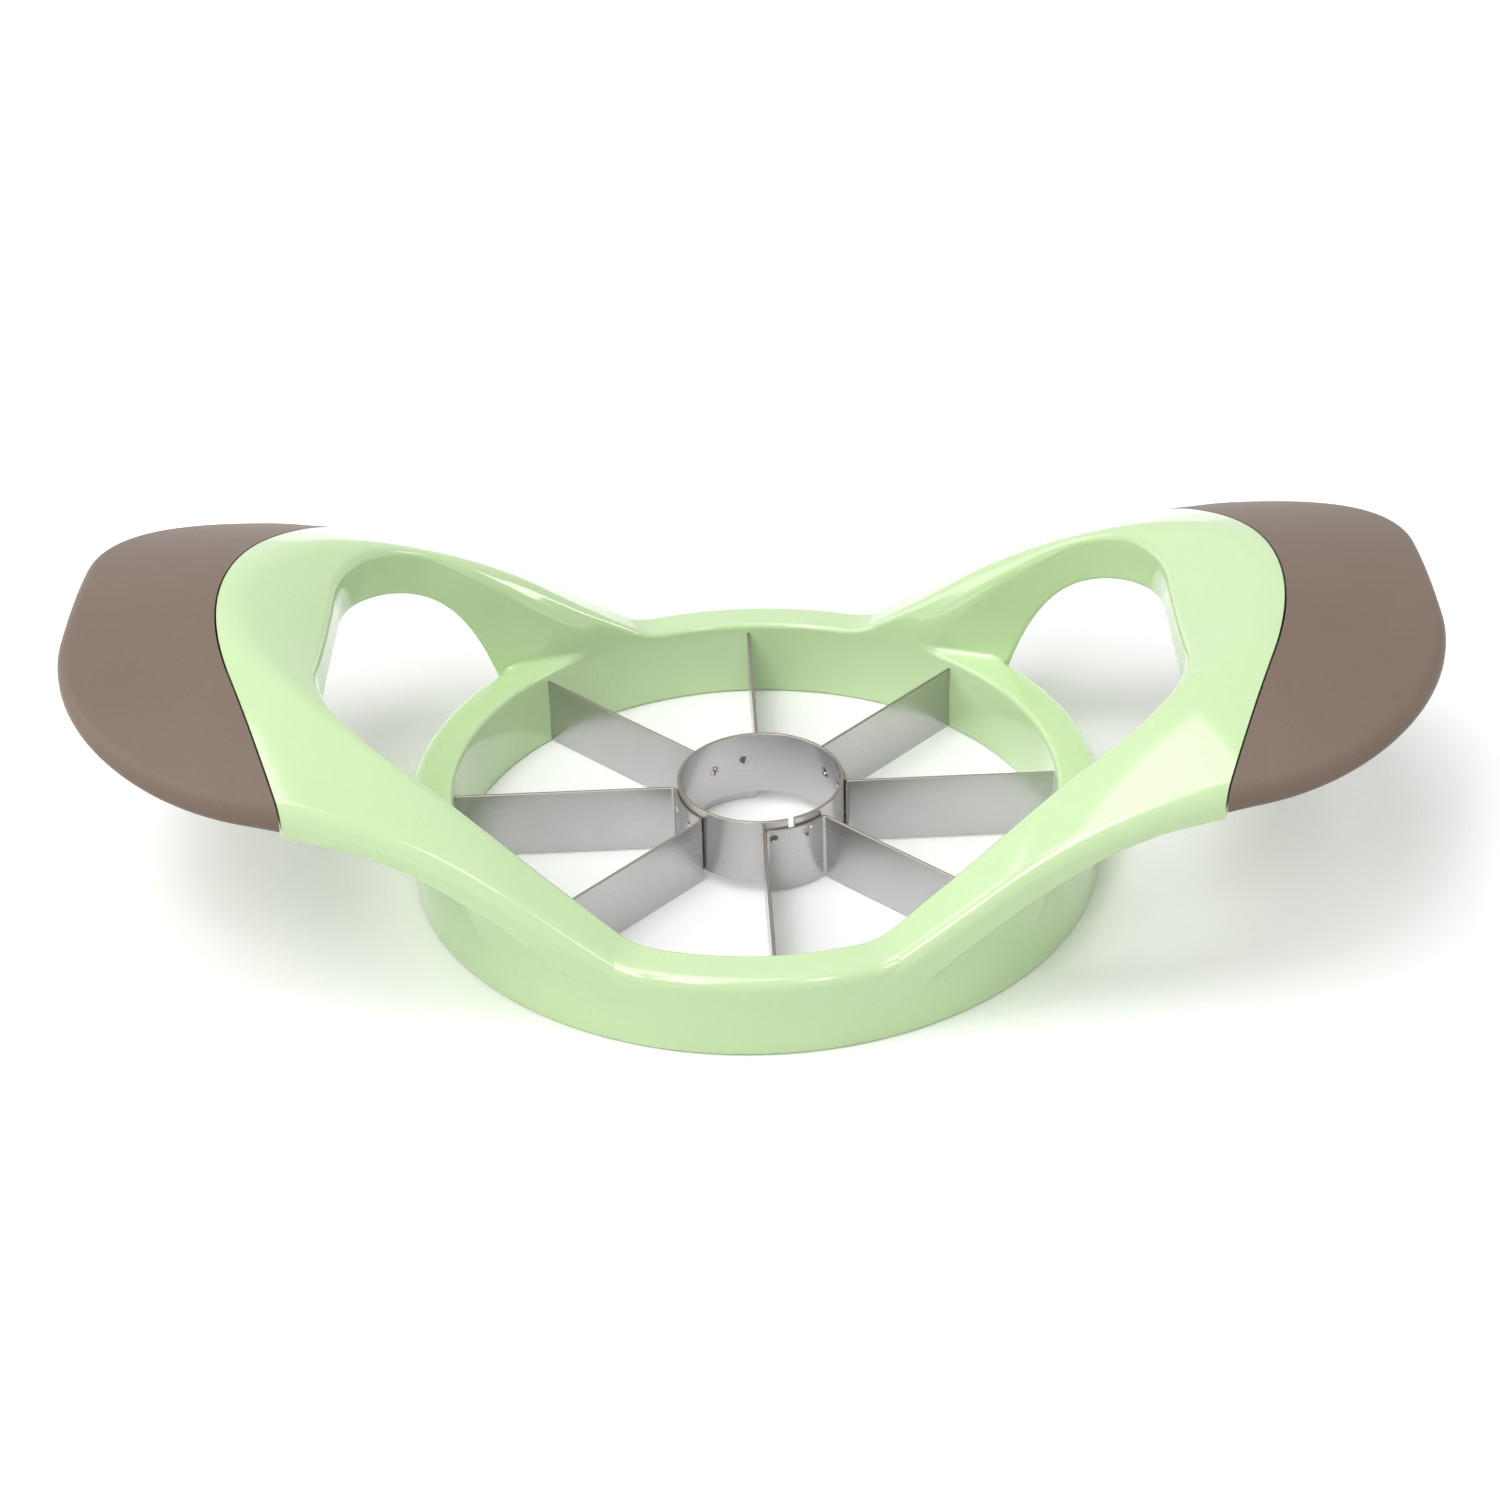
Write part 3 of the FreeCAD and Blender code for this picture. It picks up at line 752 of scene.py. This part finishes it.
def tube_path():
    """Middle line of the core tube, open at its butt seam."""
    radius = TUBE_R - STEEL / 2
    gap = TUBE_SEAM_GAP / radius
    seam = math.radians(TUBE_SEAM_ANGLE)
    return arc_points(Vector((0, 0)), radius, seam + gap / 2, seam + math.tau - gap / 2)


def strip_section(foot, top, bevel, edge):
    """Cross-section of a strip, drawn downwards.

    It is ground to an edge at the foot, and its corners are broken at the spine.
    """
    half = STEEL / 2
    right = [(edge / 2, -foot), (half, -foot - bevel),
             (half, SPINE_ROUND - top), (half - SPINE_ROUND, -top)]
    return [(-x, z) for x, z in right] + right[::-1]


def line_object(name, points, closed):
    """A curve of straight runs through points in the XY plane, in millimetres."""
    curve = bpy.data.curves.new(name, "CURVE")
    curve.dimensions = "3D"
    spline = curve.splines.new("POLY")
    spline.points.add(len(points) - 1)
    for made, (x, y) in zip(spline.points, points):
        made.co = (x * MM, y * MM, 0.0, 1.0)
    spline.use_cyclic_u = closed
    return new_object(name, curve)

# %% Sweep and repeat the strip
def strips_tree():
    """Sweep a section along a path, keep how far along each point is, and repeat it."""
    tree, given = modifier_tree(
        "swept_steel", ("Section", "Object"), ("Count", "Int"), ("Turn", "Float"),
        ("Shift", "Float"))
    along = tree.wire("GeometryNodeSplineParameter", output="Length")
    path = tree.wire("GeometryNodeSetCurveNormal", {"mode": "Z_UP"}, Curve=given["Geometry"])
    path = kept(path, "along", along, "FLOAT", "POINT")
    section = tree.wire("GeometryNodeObjectInfo", output="Geometry", Object=given["Section"])
    strip = tree.wire(
        "GeometryNodeCurveToMesh", Curve=path, Profile_Curve=section, Fill_Caps=True)
    places = tree.wire("GeometryNodePoints", Count=given["Count"])
    number = tree.wire("GeometryNodeInputIndex")
    turn = number / given["Count"] * math.tau + given["Turn"]
    turned = tree.wire("ShaderNodeCombineXYZ", Z=turn)
    copies = tree.wire(
        "GeometryNodeInstanceOnPoints", Points=places, Instance=strip, Rotation=turned)
    moved = tree.wire("ShaderNodeCombineXYZ", X=given["Shift"])
    copies = tree.wire("GeometryNodeTransform", Geometry=copies, Translation=moved)
    return finish_tree(tree, copies, given)


def steel_piece(name, path, section, count, material):
    """A swept strip and its copies, in their place in the ring."""
    piece = line_object(name, path, False)
    outline = line_object(name + "_section", section, True)
    add_tree(piece, strips_tree(), Section=outline, Count=count,
             Turn=math.radians(SET_TURN), Shift=set_centre * MM, Material=material)
    made = plain_mesh(piece)
    bpy.data.objects.remove(outline)
    made.data.set_sharp_from_angle(angle=SHARP_EDGE)
    return made

# %% [markdown]
# ## Weld marks
#
# Each tab is spot-welded to the tube in two places. A weld leaves a small dark
# burn on both sides of the steel, and a few bright beads of spatter. The burns
# are part of the steel's finish, and the beads are real little balls, dropped
# round each weld by Geometry Nodes with a fixed seed.

# %% Where the welds are
WELDS = [  # angle round the tube in degrees, and height in millimetres
    (-84.0, 9.8), (-60.5, 9.9), (12.0, 8.9), (33.0, 8.4),
    (100.2, 7.8), (123.5, 7.3), (-168.0, 8.6), (-147.0, 9.3)]
BEADS_PER_WELD = 3
BEAD_R = 0.22
SMALLEST_BEAD = 0.35  # share of the largest
BEAD_DETAIL = 2
BEAD_SPREAD = 0.7
BEAD_SEED = 7
INNER_FACE_R = TUBE_R - STEEL
OUTER_FACE_R = TUBE_R + TAB_FIT + STEEL


def on_tube(angle, height, radius):
    """A point on the blade set's tube in its place in the ring, in millimetres."""
    turn = math.radians(angle + SET_TURN)
    return Vector((set_centre + radius * math.cos(turn), radius * math.sin(turn), height))


def spatter_tree():
    """Scatter beads round each weld on a cylinder of the given radius."""
    tree, given = modifier_tree(
        "weld_spatter", ("Radius", "Float"), ("Spread", "Float"), ("Bead", "Float"),
        ("Beads", "Int"), ("Seed", "Int"), ("Middle", "Vector"))
    points = tree.wire("GeometryNodeMeshToPoints", Mesh=given["Geometry"])
    points = tree.wire(
        "GeometryNodeDuplicateElements", {"domain": "POINT"},
        Geometry=points, Amount=given["Beads"])
    furthest = given["Spread"]
    reach = tree.wire("ShaderNodeCombineXYZ", X=furthest, Y=furthest, Z=furthest)
    other_way = tree.vector_math("MULTIPLY", reach, (-1, -1, -1))
    thrown = tree.wire(
        "FunctionNodeRandomValue", {"data_type": "FLOAT_VECTOR"},
        in_0=other_way, in_1=reach, Seed=given["Seed"])
    points = tree.wire("GeometryNodeSetPosition", Geometry=points, Offset=thrown)
    away = tree.vector_math("SUBTRACT", tree.wire("GeometryNodeInputPosition"), given["Middle"])
    level = tree.vector_math("MULTIPLY", away, (1, 1, 0))
    onto_wall = scaled(tree.vector_math("NORMALIZE", level), given["Radius"])
    moved = tree.vector_math("SUBTRACT", onto_wall, level)
    points = tree.wire("GeometryNodeSetPosition", Geometry=points, Offset=moved)
    bead = tree.wire(
        "GeometryNodeMeshIcoSphere", Radius=given["Bead"], Subdivisions=BEAD_DETAIL)
    size = tree.wire(
        "FunctionNodeRandomValue", {"data_type": "FLOAT"}, 1,
        in_2=SMALLEST_BEAD, in_3=1.0, Seed=given["Seed"])
    beads = tree.wire("GeometryNodeInstanceOnPoints", Points=points, Instance=bead, Scale=size)
    return finish_tree(tree, beads, given)


def spatter(name, radius, material):
    """Weld spatter on one face of the tube's wall."""
    places = [on_tube(angle, height, radius) * MM for angle, height in WELDS]
    piece = new_object(name, new_mesh(name, places, []))
    add_tree(piece, spatter_tree(), Radius=radius * MM, Spread=BEAD_SPREAD * MM,
             Bead=BEAD_R * MM, Beads=BEADS_PER_WELD, Seed=BEAD_SEED,
             Middle=(set_centre * MM, 0.0, 0.0), Material=material)
    return plain_mesh(piece)

# %% [markdown]
# ## Finishes
#
# Each finish is one principled shader. Only what really varies over the surface
# is wired: a faint unevenness of colour, the gloss, and a fine bump. Everything
# that is the same all over is set on the shader itself. The patterns read the
# object's own coordinates, so they stay on it from every side.

# %% Colours and material helpers
def colour(red, green, blue):
    """A screen colour, 0 to 255, turned into light by the sRGB curve."""
    def light(value):
        share = value / 255
        return share / 12.92 if share <= 0.04045 else ((share + 0.055) / 1.055) ** 2.4
    return light(red), light(green), light(blue), 1.0


def shader_tree(name, **settings):
    """A new material with one principled shader, whose plain sockets are set."""
    material = bpy.data.materials.new(name)
    material.use_nodes = True
    tree = Tree(material.node_tree)
    shader = material.node_tree.nodes["Principled BSDF"]
    feed_shader(tree, shader, **settings)
    print("finish:", name)
    return material, tree, shader


def feed_shader(tree, shader, **sockets):
    """Give a shader's sockets their values or wires."""
    for socket, value in sockets.items():
        tree.feed(shader.inputs[socket.replace("_", " ")], value)


def own_place(tree):
    """Where a point is on its own object, in metres."""
    return tree.wire("ShaderNodeTexCoord", output="Object")


def noise(tree, where, scale, detail=2.0):
    """Even noise from 0 to 1, with scale in bumps to the metre."""
    return tree.wire("ShaderNodeTexNoise", Vector=where, Scale=scale, Detail=detail)


def spread(value, least, most):
    """Stretch 0 to 1 over a range."""
    return value * (most - least) + least


COARSE_SHARE = 0.6  # of a shade, where coarse and fine noise make it together


def weighed(coarse, fine):
    """Coarse and fine noise together."""
    return coarse * COARSE_SHARE + fine * (1.0 - COARSE_SHARE)


def colour_mix(tree, amount, first, second):
    """Mix two colours. A Mix node's colours are its inputs 6 and 7 and its output 2."""
    return tree.wire(
        "ShaderNodeMix", {"data_type": "RGBA"}, 2, in_0=amount, in_6=first, in_7=second)


def bumped(tree, height, strength, depth):
    """A normal from a height, with depth in millimetres."""
    return tree.wire("ShaderNodeBump", Height=height, Strength=strength, Distance=depth * MM)

# %% [markdown]
# ### Green plastic
#
# The ring and both handles are one moulding from a polished mould. Gloss alone
# looks like paint, so a coat lies over a rougher base, some light goes into the
# plastic, and colour, gloss and surface waver a little, each at its own scale.

# %% Glossy green plastic
GREEN_SHADES = colour(200, 229, 172), colour(208, 235, 182)
GREEN_ROUGHNESS = 0.10, 0.16
GREEN_CLOUDS, GREEN_MOTTLE, GREEN_WAVES = 35.0, 220.0, 700.0  # bumps to the metre


def green_plastic():
    """Pale green moulded plastic, glossy and a little cloudy."""
    material, tree, shader = shader_tree(
        "green_plastic", IOR=1.49, Coat_Weight=0.6, Coat_Roughness=0.05,
        Subsurface_Weight=0.12, Subsurface_Scale=0.002, Subsurface_Radius=(1.0, 1.0, 0.5))
    where = own_place(tree)
    waves = noise(tree, where, GREEN_WAVES, detail=1.0)
    feed_shader(
        tree, shader,
        Base_Color=colour_mix(tree, noise(tree, where, GREEN_CLOUDS), *GREEN_SHADES),
        Roughness=spread(noise(tree, where, GREEN_MOTTLE), *GREEN_ROUGHNESS),
        Normal=bumped(tree, waves, strength=0.15, depth=0.02))
    return material

# %% [markdown]
# ### Soft ends
#
# The brown ends are a rubbery skin, dry to the touch. High roughness alone looks
# like chalk, so a trace of sheen and a very fine bump give it tooth.

# %% Soft brown ends
BROWN_SHADES = colour(113, 95, 83), colour(124, 106, 93)
BROWN_ROUGHNESS = 0.48, 0.60
BROWN_CLOUDS, BROWN_SPECKS, BROWN_TOOTH = 60.0, 1500.0, 2600.0


def soft_grip():
    """Matt brown soft-touch skin, unevenly matt, with a fine tooth."""
    material, tree, shader = shader_tree(
        "soft_grip", IOR=1.45, Sheen_Weight=0.08, Sheen_Roughness=0.5)
    where = own_place(tree)
    speck = noise(tree, where, BROWN_SPECKS)
    shade = weighed(noise(tree, where, BROWN_CLOUDS), speck)
    feed_shader(
        tree, shader,
        Base_Color=colour_mix(tree, shade, *BROWN_SHADES),
        Roughness=spread(speck, *BROWN_ROUGHNESS),
        Normal=bumped(tree, noise(tree, where, BROWN_TOOTH), strength=0.25, depth=0.03))
    return material

# %% [markdown]
# ### Steel
#
# The strips are cold-rolled, so fine lines run along each one. Stretched noise
# that reads the length kept on the strip follows every bend, which it couldn't
# on plain coordinates. The sheared upper edge is browner, and round each weld a
# dark burn lies inside a straw tint.

# %% Rolled steel
STEEL_SHADES = colour(180, 178, 179), colour(200, 199, 200)
STEEL_ROUGHNESS, LINES_ROUGHNESS, STAINS_ROUGHNESS = 0.16, 0.10, 0.08
STRAW_TINT = colour(176, 164, 146), 0.35, 0.0  # a mark's colour, strength and roughness
DARK_BURN = colour(84, 79, 74), 0.8, 0.25
CUT_EDGE = colour(132, 120, 104), 0.75, 0.15
LINES_ALONG, LINES_ACROSS = 60.0, 5000.0
STEEL_STAINS, BURN_EDGES, BURN_PITS = 140.0, 1500.0, 3500.0
LINES_SHARE = 0.3  # of the bump
BURN_R = 0.55  # dark middle of a weld's burn
BURN_FADE = 0.4
BURN_WANDERS = 1.8  # raggedness of its outline
TINT_R = 1.6
SPINE_DEPTH = 0.12  # how far down the cut edge reaches


def near_weld(tree, point):
    """Distance in millimetres to the nearest weld, with a ragged outline."""
    nearest = None
    for angle, height in WELDS:
        apart = tree.wire(
            "ShaderNodeVectorMath", {"operation": "DISTANCE"}, "Value", in_0=point,
            in_1=on_tube(angle, height, TUBE_R) * MM)
        nearest = apart if nearest is None else smallest(nearest, apart)
    return nearest / MM + (noise(tree, point, BURN_EDGES, 3.0) - 0.5) * BURN_WANDERS


def blade_steel(name, spine):
    """Satin stainless strip, rolled along its length, with burns at the welds."""
    material, tree, shader = shader_tree(name, Metallic=1.0)
    where = own_place(tree)
    height = split(where)[2]
    along = tree.wire("ShaderNodeAttribute", {"attribute_name": "along"}, "Fac")
    rolled = tree.wire("ShaderNodeCombineXYZ", X=along * LINES_ALONG, Y=height * LINES_ACROSS)
    lines = noise(tree, rolled, 1.0, 3.0)
    stain = noise(tree, where, STEEL_STAINS)
    weld = near_weld(tree, where)
    burn = 1.0 - ease((weld - BURN_R) / BURN_FADE)
    tint = 1.0 - ease(weld / TINT_R)
    cut_edge = height > (spine - SPINE_DEPTH) * MM

    base = colour_mix(tree, weighed(stain, lines), *STEEL_SHADES)
    rough = lines * LINES_ROUGHNESS + stain * STAINS_ROUGHNESS + STEEL_ROUGHNESS
    for mark, look in ((tint, STRAW_TINT), (burn, DARK_BURN), (cut_edge, CUT_EDGE)):
        shade, strength, rougher = look
        base = colour_mix(tree, mark * strength, base, shade)
        rough = rough + mark * rougher
    pitted = lines * LINES_SHARE + burn * noise(tree, where, BURN_PITS)
    feed_shader(
        tree, shader, Base_Color=base, Roughness=rough,
        Normal=bumped(tree, pitted, strength=0.3, depth=0.03))
    return material

# %% Weld beads
BEAD_SHADES = colour(214, 212, 208), colour(238, 237, 235)
BEAD_ROUGHNESS = 0.12, 0.22
BEAD_CLOUDS, BEAD_MOTTLE = 900.0, 4000.0


def bright_bead():
    """Solidified spatter, bright and smooth."""
    material, tree, shader = shader_tree("weld_bead", Metallic=1.0)
    where = own_place(tree)
    feed_shader(
        tree, shader,
        Base_Color=colour_mix(tree, noise(tree, where, BEAD_CLOUDS), *BEAD_SHADES),
        Roughness=spread(noise(tree, where, BEAD_MOTTLE), *BEAD_ROUGHNESS))
    return material

# %% [markdown]
# ## Making the pieces
#
# Each finished piece takes the place of its CAD nodes and rides on the one body.
# Spatter has no node, so it is simply added.

# %% Pieces
FRAME_BLOCK = ((-79.0, -53.0, -1.0), (79.0, 53.0, 48.0))  # corners of the voxels
GRIP_BLOCK = ((62.0, -42.0, 26.0), (100.0, 42.0, 48.0))
FRAME_VOXEL, GRIP_VOXEL = 0.3, 0.35
FRAME_KEEP, GRIP_KEEP = 0.25, 0.5  # share of the faces that Decimate leaves


def dress(piece, slot, *nodes):
    """Hand a finished piece to the frame."""
    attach(piece, "root")
    if nodes:
        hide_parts(*nodes)


moulding = moulded(
    "green_frame", distance_group("green_moulding", green_moulding), *FRAME_BLOCK, FRAME_VOXEL,
    FRAME_KEEP, green_plastic(), both_sides(beyond_seam(0.0)), "DIFFERENCE")
dress(moulding, "green_plastic", "frame")

# %% Soft ends
right_end = moulded(
    "soft_end_right", distance_group("soft_end", soft_end), *GRIP_BLOCK, GRIP_VOXEL,
    GRIP_KEEP, soft_grip(), beyond_seam(SEAM_GROOVE), "INTERSECT")
dress(right_end, "soft_grip", "grip_right")
left_end = mirrored(right_end, "soft_end_left")
dress(left_end, "soft_grip", "grip_left")

# %% Steel
blades = steel_piece(
    "blade_set", strip_path(), strip_section(BLADE_FOOT, BLADE_TOP, BLADE_BEVEL, BLADE_EDGE),
    STRIP_COUNT, blade_steel("blade_steel", BLADE_TOP))
dress(blades, "blade_steel", *[f"blade_strip_{number}" for number in range(1, STRIP_COUNT + 1)])
tube = steel_piece(
    "core_tube_rolled", tube_path(),
    strip_section(TUBE_FOOT, TUBE_TOP, SPINE_ROUND, STEEL - 2 * SPINE_ROUND),
    1, blade_steel("tube_steel", TUBE_TOP))
dress(tube, "blade_steel", "core_tube")

# %% Weld spatter
bead_steel = bright_bead()
for name, radius in (("spatter_outside", OUTER_FACE_R), ("spatter_inside", INNER_FACE_R)):
    dress(spatter(name, radius, bead_steel), "blade_steel")

# %% [markdown]
# ## Camera, floor and light
#
# The camera looks down on the front of the slicer from about half a metre. The
# floor is a white sheet that takes the object's soft shadow and looks overexposed
# to the camera, from a glow that only the camera sees. Round the slicer that glow
# is left out, which paints shade on the floor there. The room is even. A softbox
# and a small lamp in front, a window on the left, a low lamp on the right and one
# overhead draw the highlights.

# %% Camera
CAMERA_LENS = 72.63
CAMERA_DISTANCE = 463.01
CAMERA_YAW, CAMERA_ELEVATION, CAMERA_ROLL = 0.579, 32.419, -1.523
CAMERA_RIGHT, CAMERA_UP = -0.956, 14.536  # millimetres off the line through the origin
SENSOR_WIDTH = 36.0
CLIP_START = 0.01


def make_camera():
    yaw, lift, roll = map(math.radians, (CAMERA_YAW, CAMERA_ELEVATION, CAMERA_ROLL))
    back = Vector((
        math.sin(yaw) * math.cos(lift), -math.cos(yaw) * math.cos(lift), math.sin(lift)))
    level = Vector((math.cos(yaw), math.sin(yaw), 0.0))
    upright = back.cross(level)
    right = level * math.cos(roll) + upright * math.sin(roll)
    up = upright * math.cos(roll) - level * math.sin(roll)
    data = bpy.data.cameras.new("camera")
    data.lens = CAMERA_LENS
    data.sensor_width = SENSOR_WIDTH
    data.clip_start = CLIP_START
    camera = new_object("camera", data)
    place = Matrix((right, up, back)).transposed().to_4x4()
    place.translation = (back * CAMERA_DISTANCE + right * CAMERA_RIGHT + up * CAMERA_UP) * MM
    camera.matrix_world = place
    bpy.context.scene.camera = camera
    print(f"camera: {CAMERA_LENS} mm lens, {CAMERA_DISTANCE:.0f} mm away")


make_camera()

# %% Floor
FLOOR_HALF = 3.0
FLOOR_WHITE = 0.85
FLOOR_TO_CAMERA = 1.05  # the same white as the camera sees it
# The glow stays off near the middle, which leaves painted shade on the floor under and round the
# slicer.
FLOOR_LIFT = 0.45  # further white that the camera sees away from the object
FLOOR_PAINTED_SHADE_R = 0.055  # metres from the middle, where that starts
FLOOR_LIFT_OVER = 0.12
FLOOR_FAR_LIFT = 0.6  # and more far off, where the lamps fade
FLOOR_FAR_FROM = 0.2
FLOOR_FAR_OVER = 1.2


def seen_directly(tree):
    """1 for rays from the camera, and for rays that a mirror or glass sends on."""
    path = tree.node("ShaderNodeLightPath")
    kinds = "Camera", "Glossy", "Transmission"
    camera, glossy, sent_on = (Wire(tree, path.outputs[f"Is {kind} Ray"]) for kind in kinds)
    return between(camera + glossy + sent_on, 0.0, 1.0)


def white_floor():
    """White sheet, with a glow that only the camera sees, left out round the slicer as painted
    shade.
    """
    material = bpy.data.materials.new("white_floor")
    material.use_nodes = True
    tree = Tree(material.node_tree)
    seen = seen_directly(tree)
    white = either(seen, FLOOR_TO_CAMERA, FLOOR_WHITE)
    white = tree.wire("ShaderNodeCombineXYZ", X=white, Y=white, Z=white)
    sheet = tree.wire("ShaderNodeBsdfDiffuse", Color=white)
    x, y, _ = split(own_place(tree))
    # No glow near the middle and more further out: the floor in and round the ring gets painted
    # shade.
    away = hypotenuse(x, y) - FLOOR_PAINTED_SHADE_R
    lift = ease(away / FLOOR_LIFT_OVER) * FLOOR_LIFT
    far_lift = ease((away - FLOOR_FAR_FROM) / FLOOR_FAR_OVER) * FLOOR_FAR_LIFT
    glow = tree.wire("ShaderNodeEmission", Strength=(lift + far_lift) * seen)
    surface = tree.wire("ShaderNodeAddShader", in_0=sheet, in_1=glow)
    tree.feed(material.node_tree.nodes["Material Output"].inputs["Surface"], surface)
    return material


def make_floor():
    """A sheet to stand on, which is no part of the slicer."""
    corners = [(-1, -1), (1, -1), (1, 1), (-1, 1)]
    points = [(x * FLOOR_HALF, y * FLOOR_HALF, 0.0) for x, y in corners]
    mesh = new_mesh("floor", points, [(0, 1, 2, 3)])
    mesh.materials.append(white_floor())
    new_object("floor", mesh)
    print(f"floor: {2 * FLOOR_HALF:.0f} m across")


make_floor()

# %% Lamps and room
ROOM_SIDES, ROOM_TOP = 0.13, 0.5  # light from the walls and from the ceiling
LAMP_DISTANCE = 0.9
LAMPS = {  # azimuth, elevation, width, height and power in watts
    "left_softbox": (-115.0, 48.0, 0.22, 0.50, 1.9),
    "small_lamp": (-68.0, 46.0, 0.08, 0.30, 0.5),
    "left_window": (-176.0, 36.0, 0.60, 0.60, 2.6),
    "right_lamp": (-4.0, 22.0, 0.20, 0.20, 0.8),
    "overhead": (-150.0, 76.0, 0.50, 0.50, 2.6),
}


def make_room():
    """Even light that grows towards the ceiling, and plain white behind the slicer."""
    world = bpy.data.worlds.new("room")
    world.use_nodes = True
    bpy.context.scene.world = world
    tree = Tree(world.node_tree)
    height = split(tree.wire("ShaderNodeTexCoord", output="Generated"))[2]
    light = spread(between(height, 0.0, 1.0), ROOM_SIDES, ROOM_TOP)
    background = world.node_tree.nodes["Background"]
    feed_shader(
        tree, background, Color=(1.0, 1.0, 1.0, 1.0),
        Strength=either(seen_directly(tree), 1.0, light))


def make_lamps():
    """Area lamps on a dome over the slicer, which all face it."""
    for name, (azimuth, elevation, width, height, power) in LAMPS.items():
        turn, lift = math.radians(azimuth), math.radians(elevation)
        level = LAMP_DISTANCE * math.cos(lift)
        place = Vector((
            level * math.cos(turn), level * math.sin(turn), LAMP_DISTANCE * math.sin(lift)))
        data = bpy.data.lights.new(name, "AREA")
        data.shape = "RECTANGLE"
        data.size = width
        data.size_y = height
        data.energy = power
        lamp = new_object(name, data)
        lamp.location = place
        lamp.rotation_euler = (-place).to_track_quat("-Z", "Y").to_euler()
        print(f"lamp: {name}, {power} W")


make_room()
make_lamps()

# %% Finish
bpy.context.scene.view_settings.view_transform = "Standard"
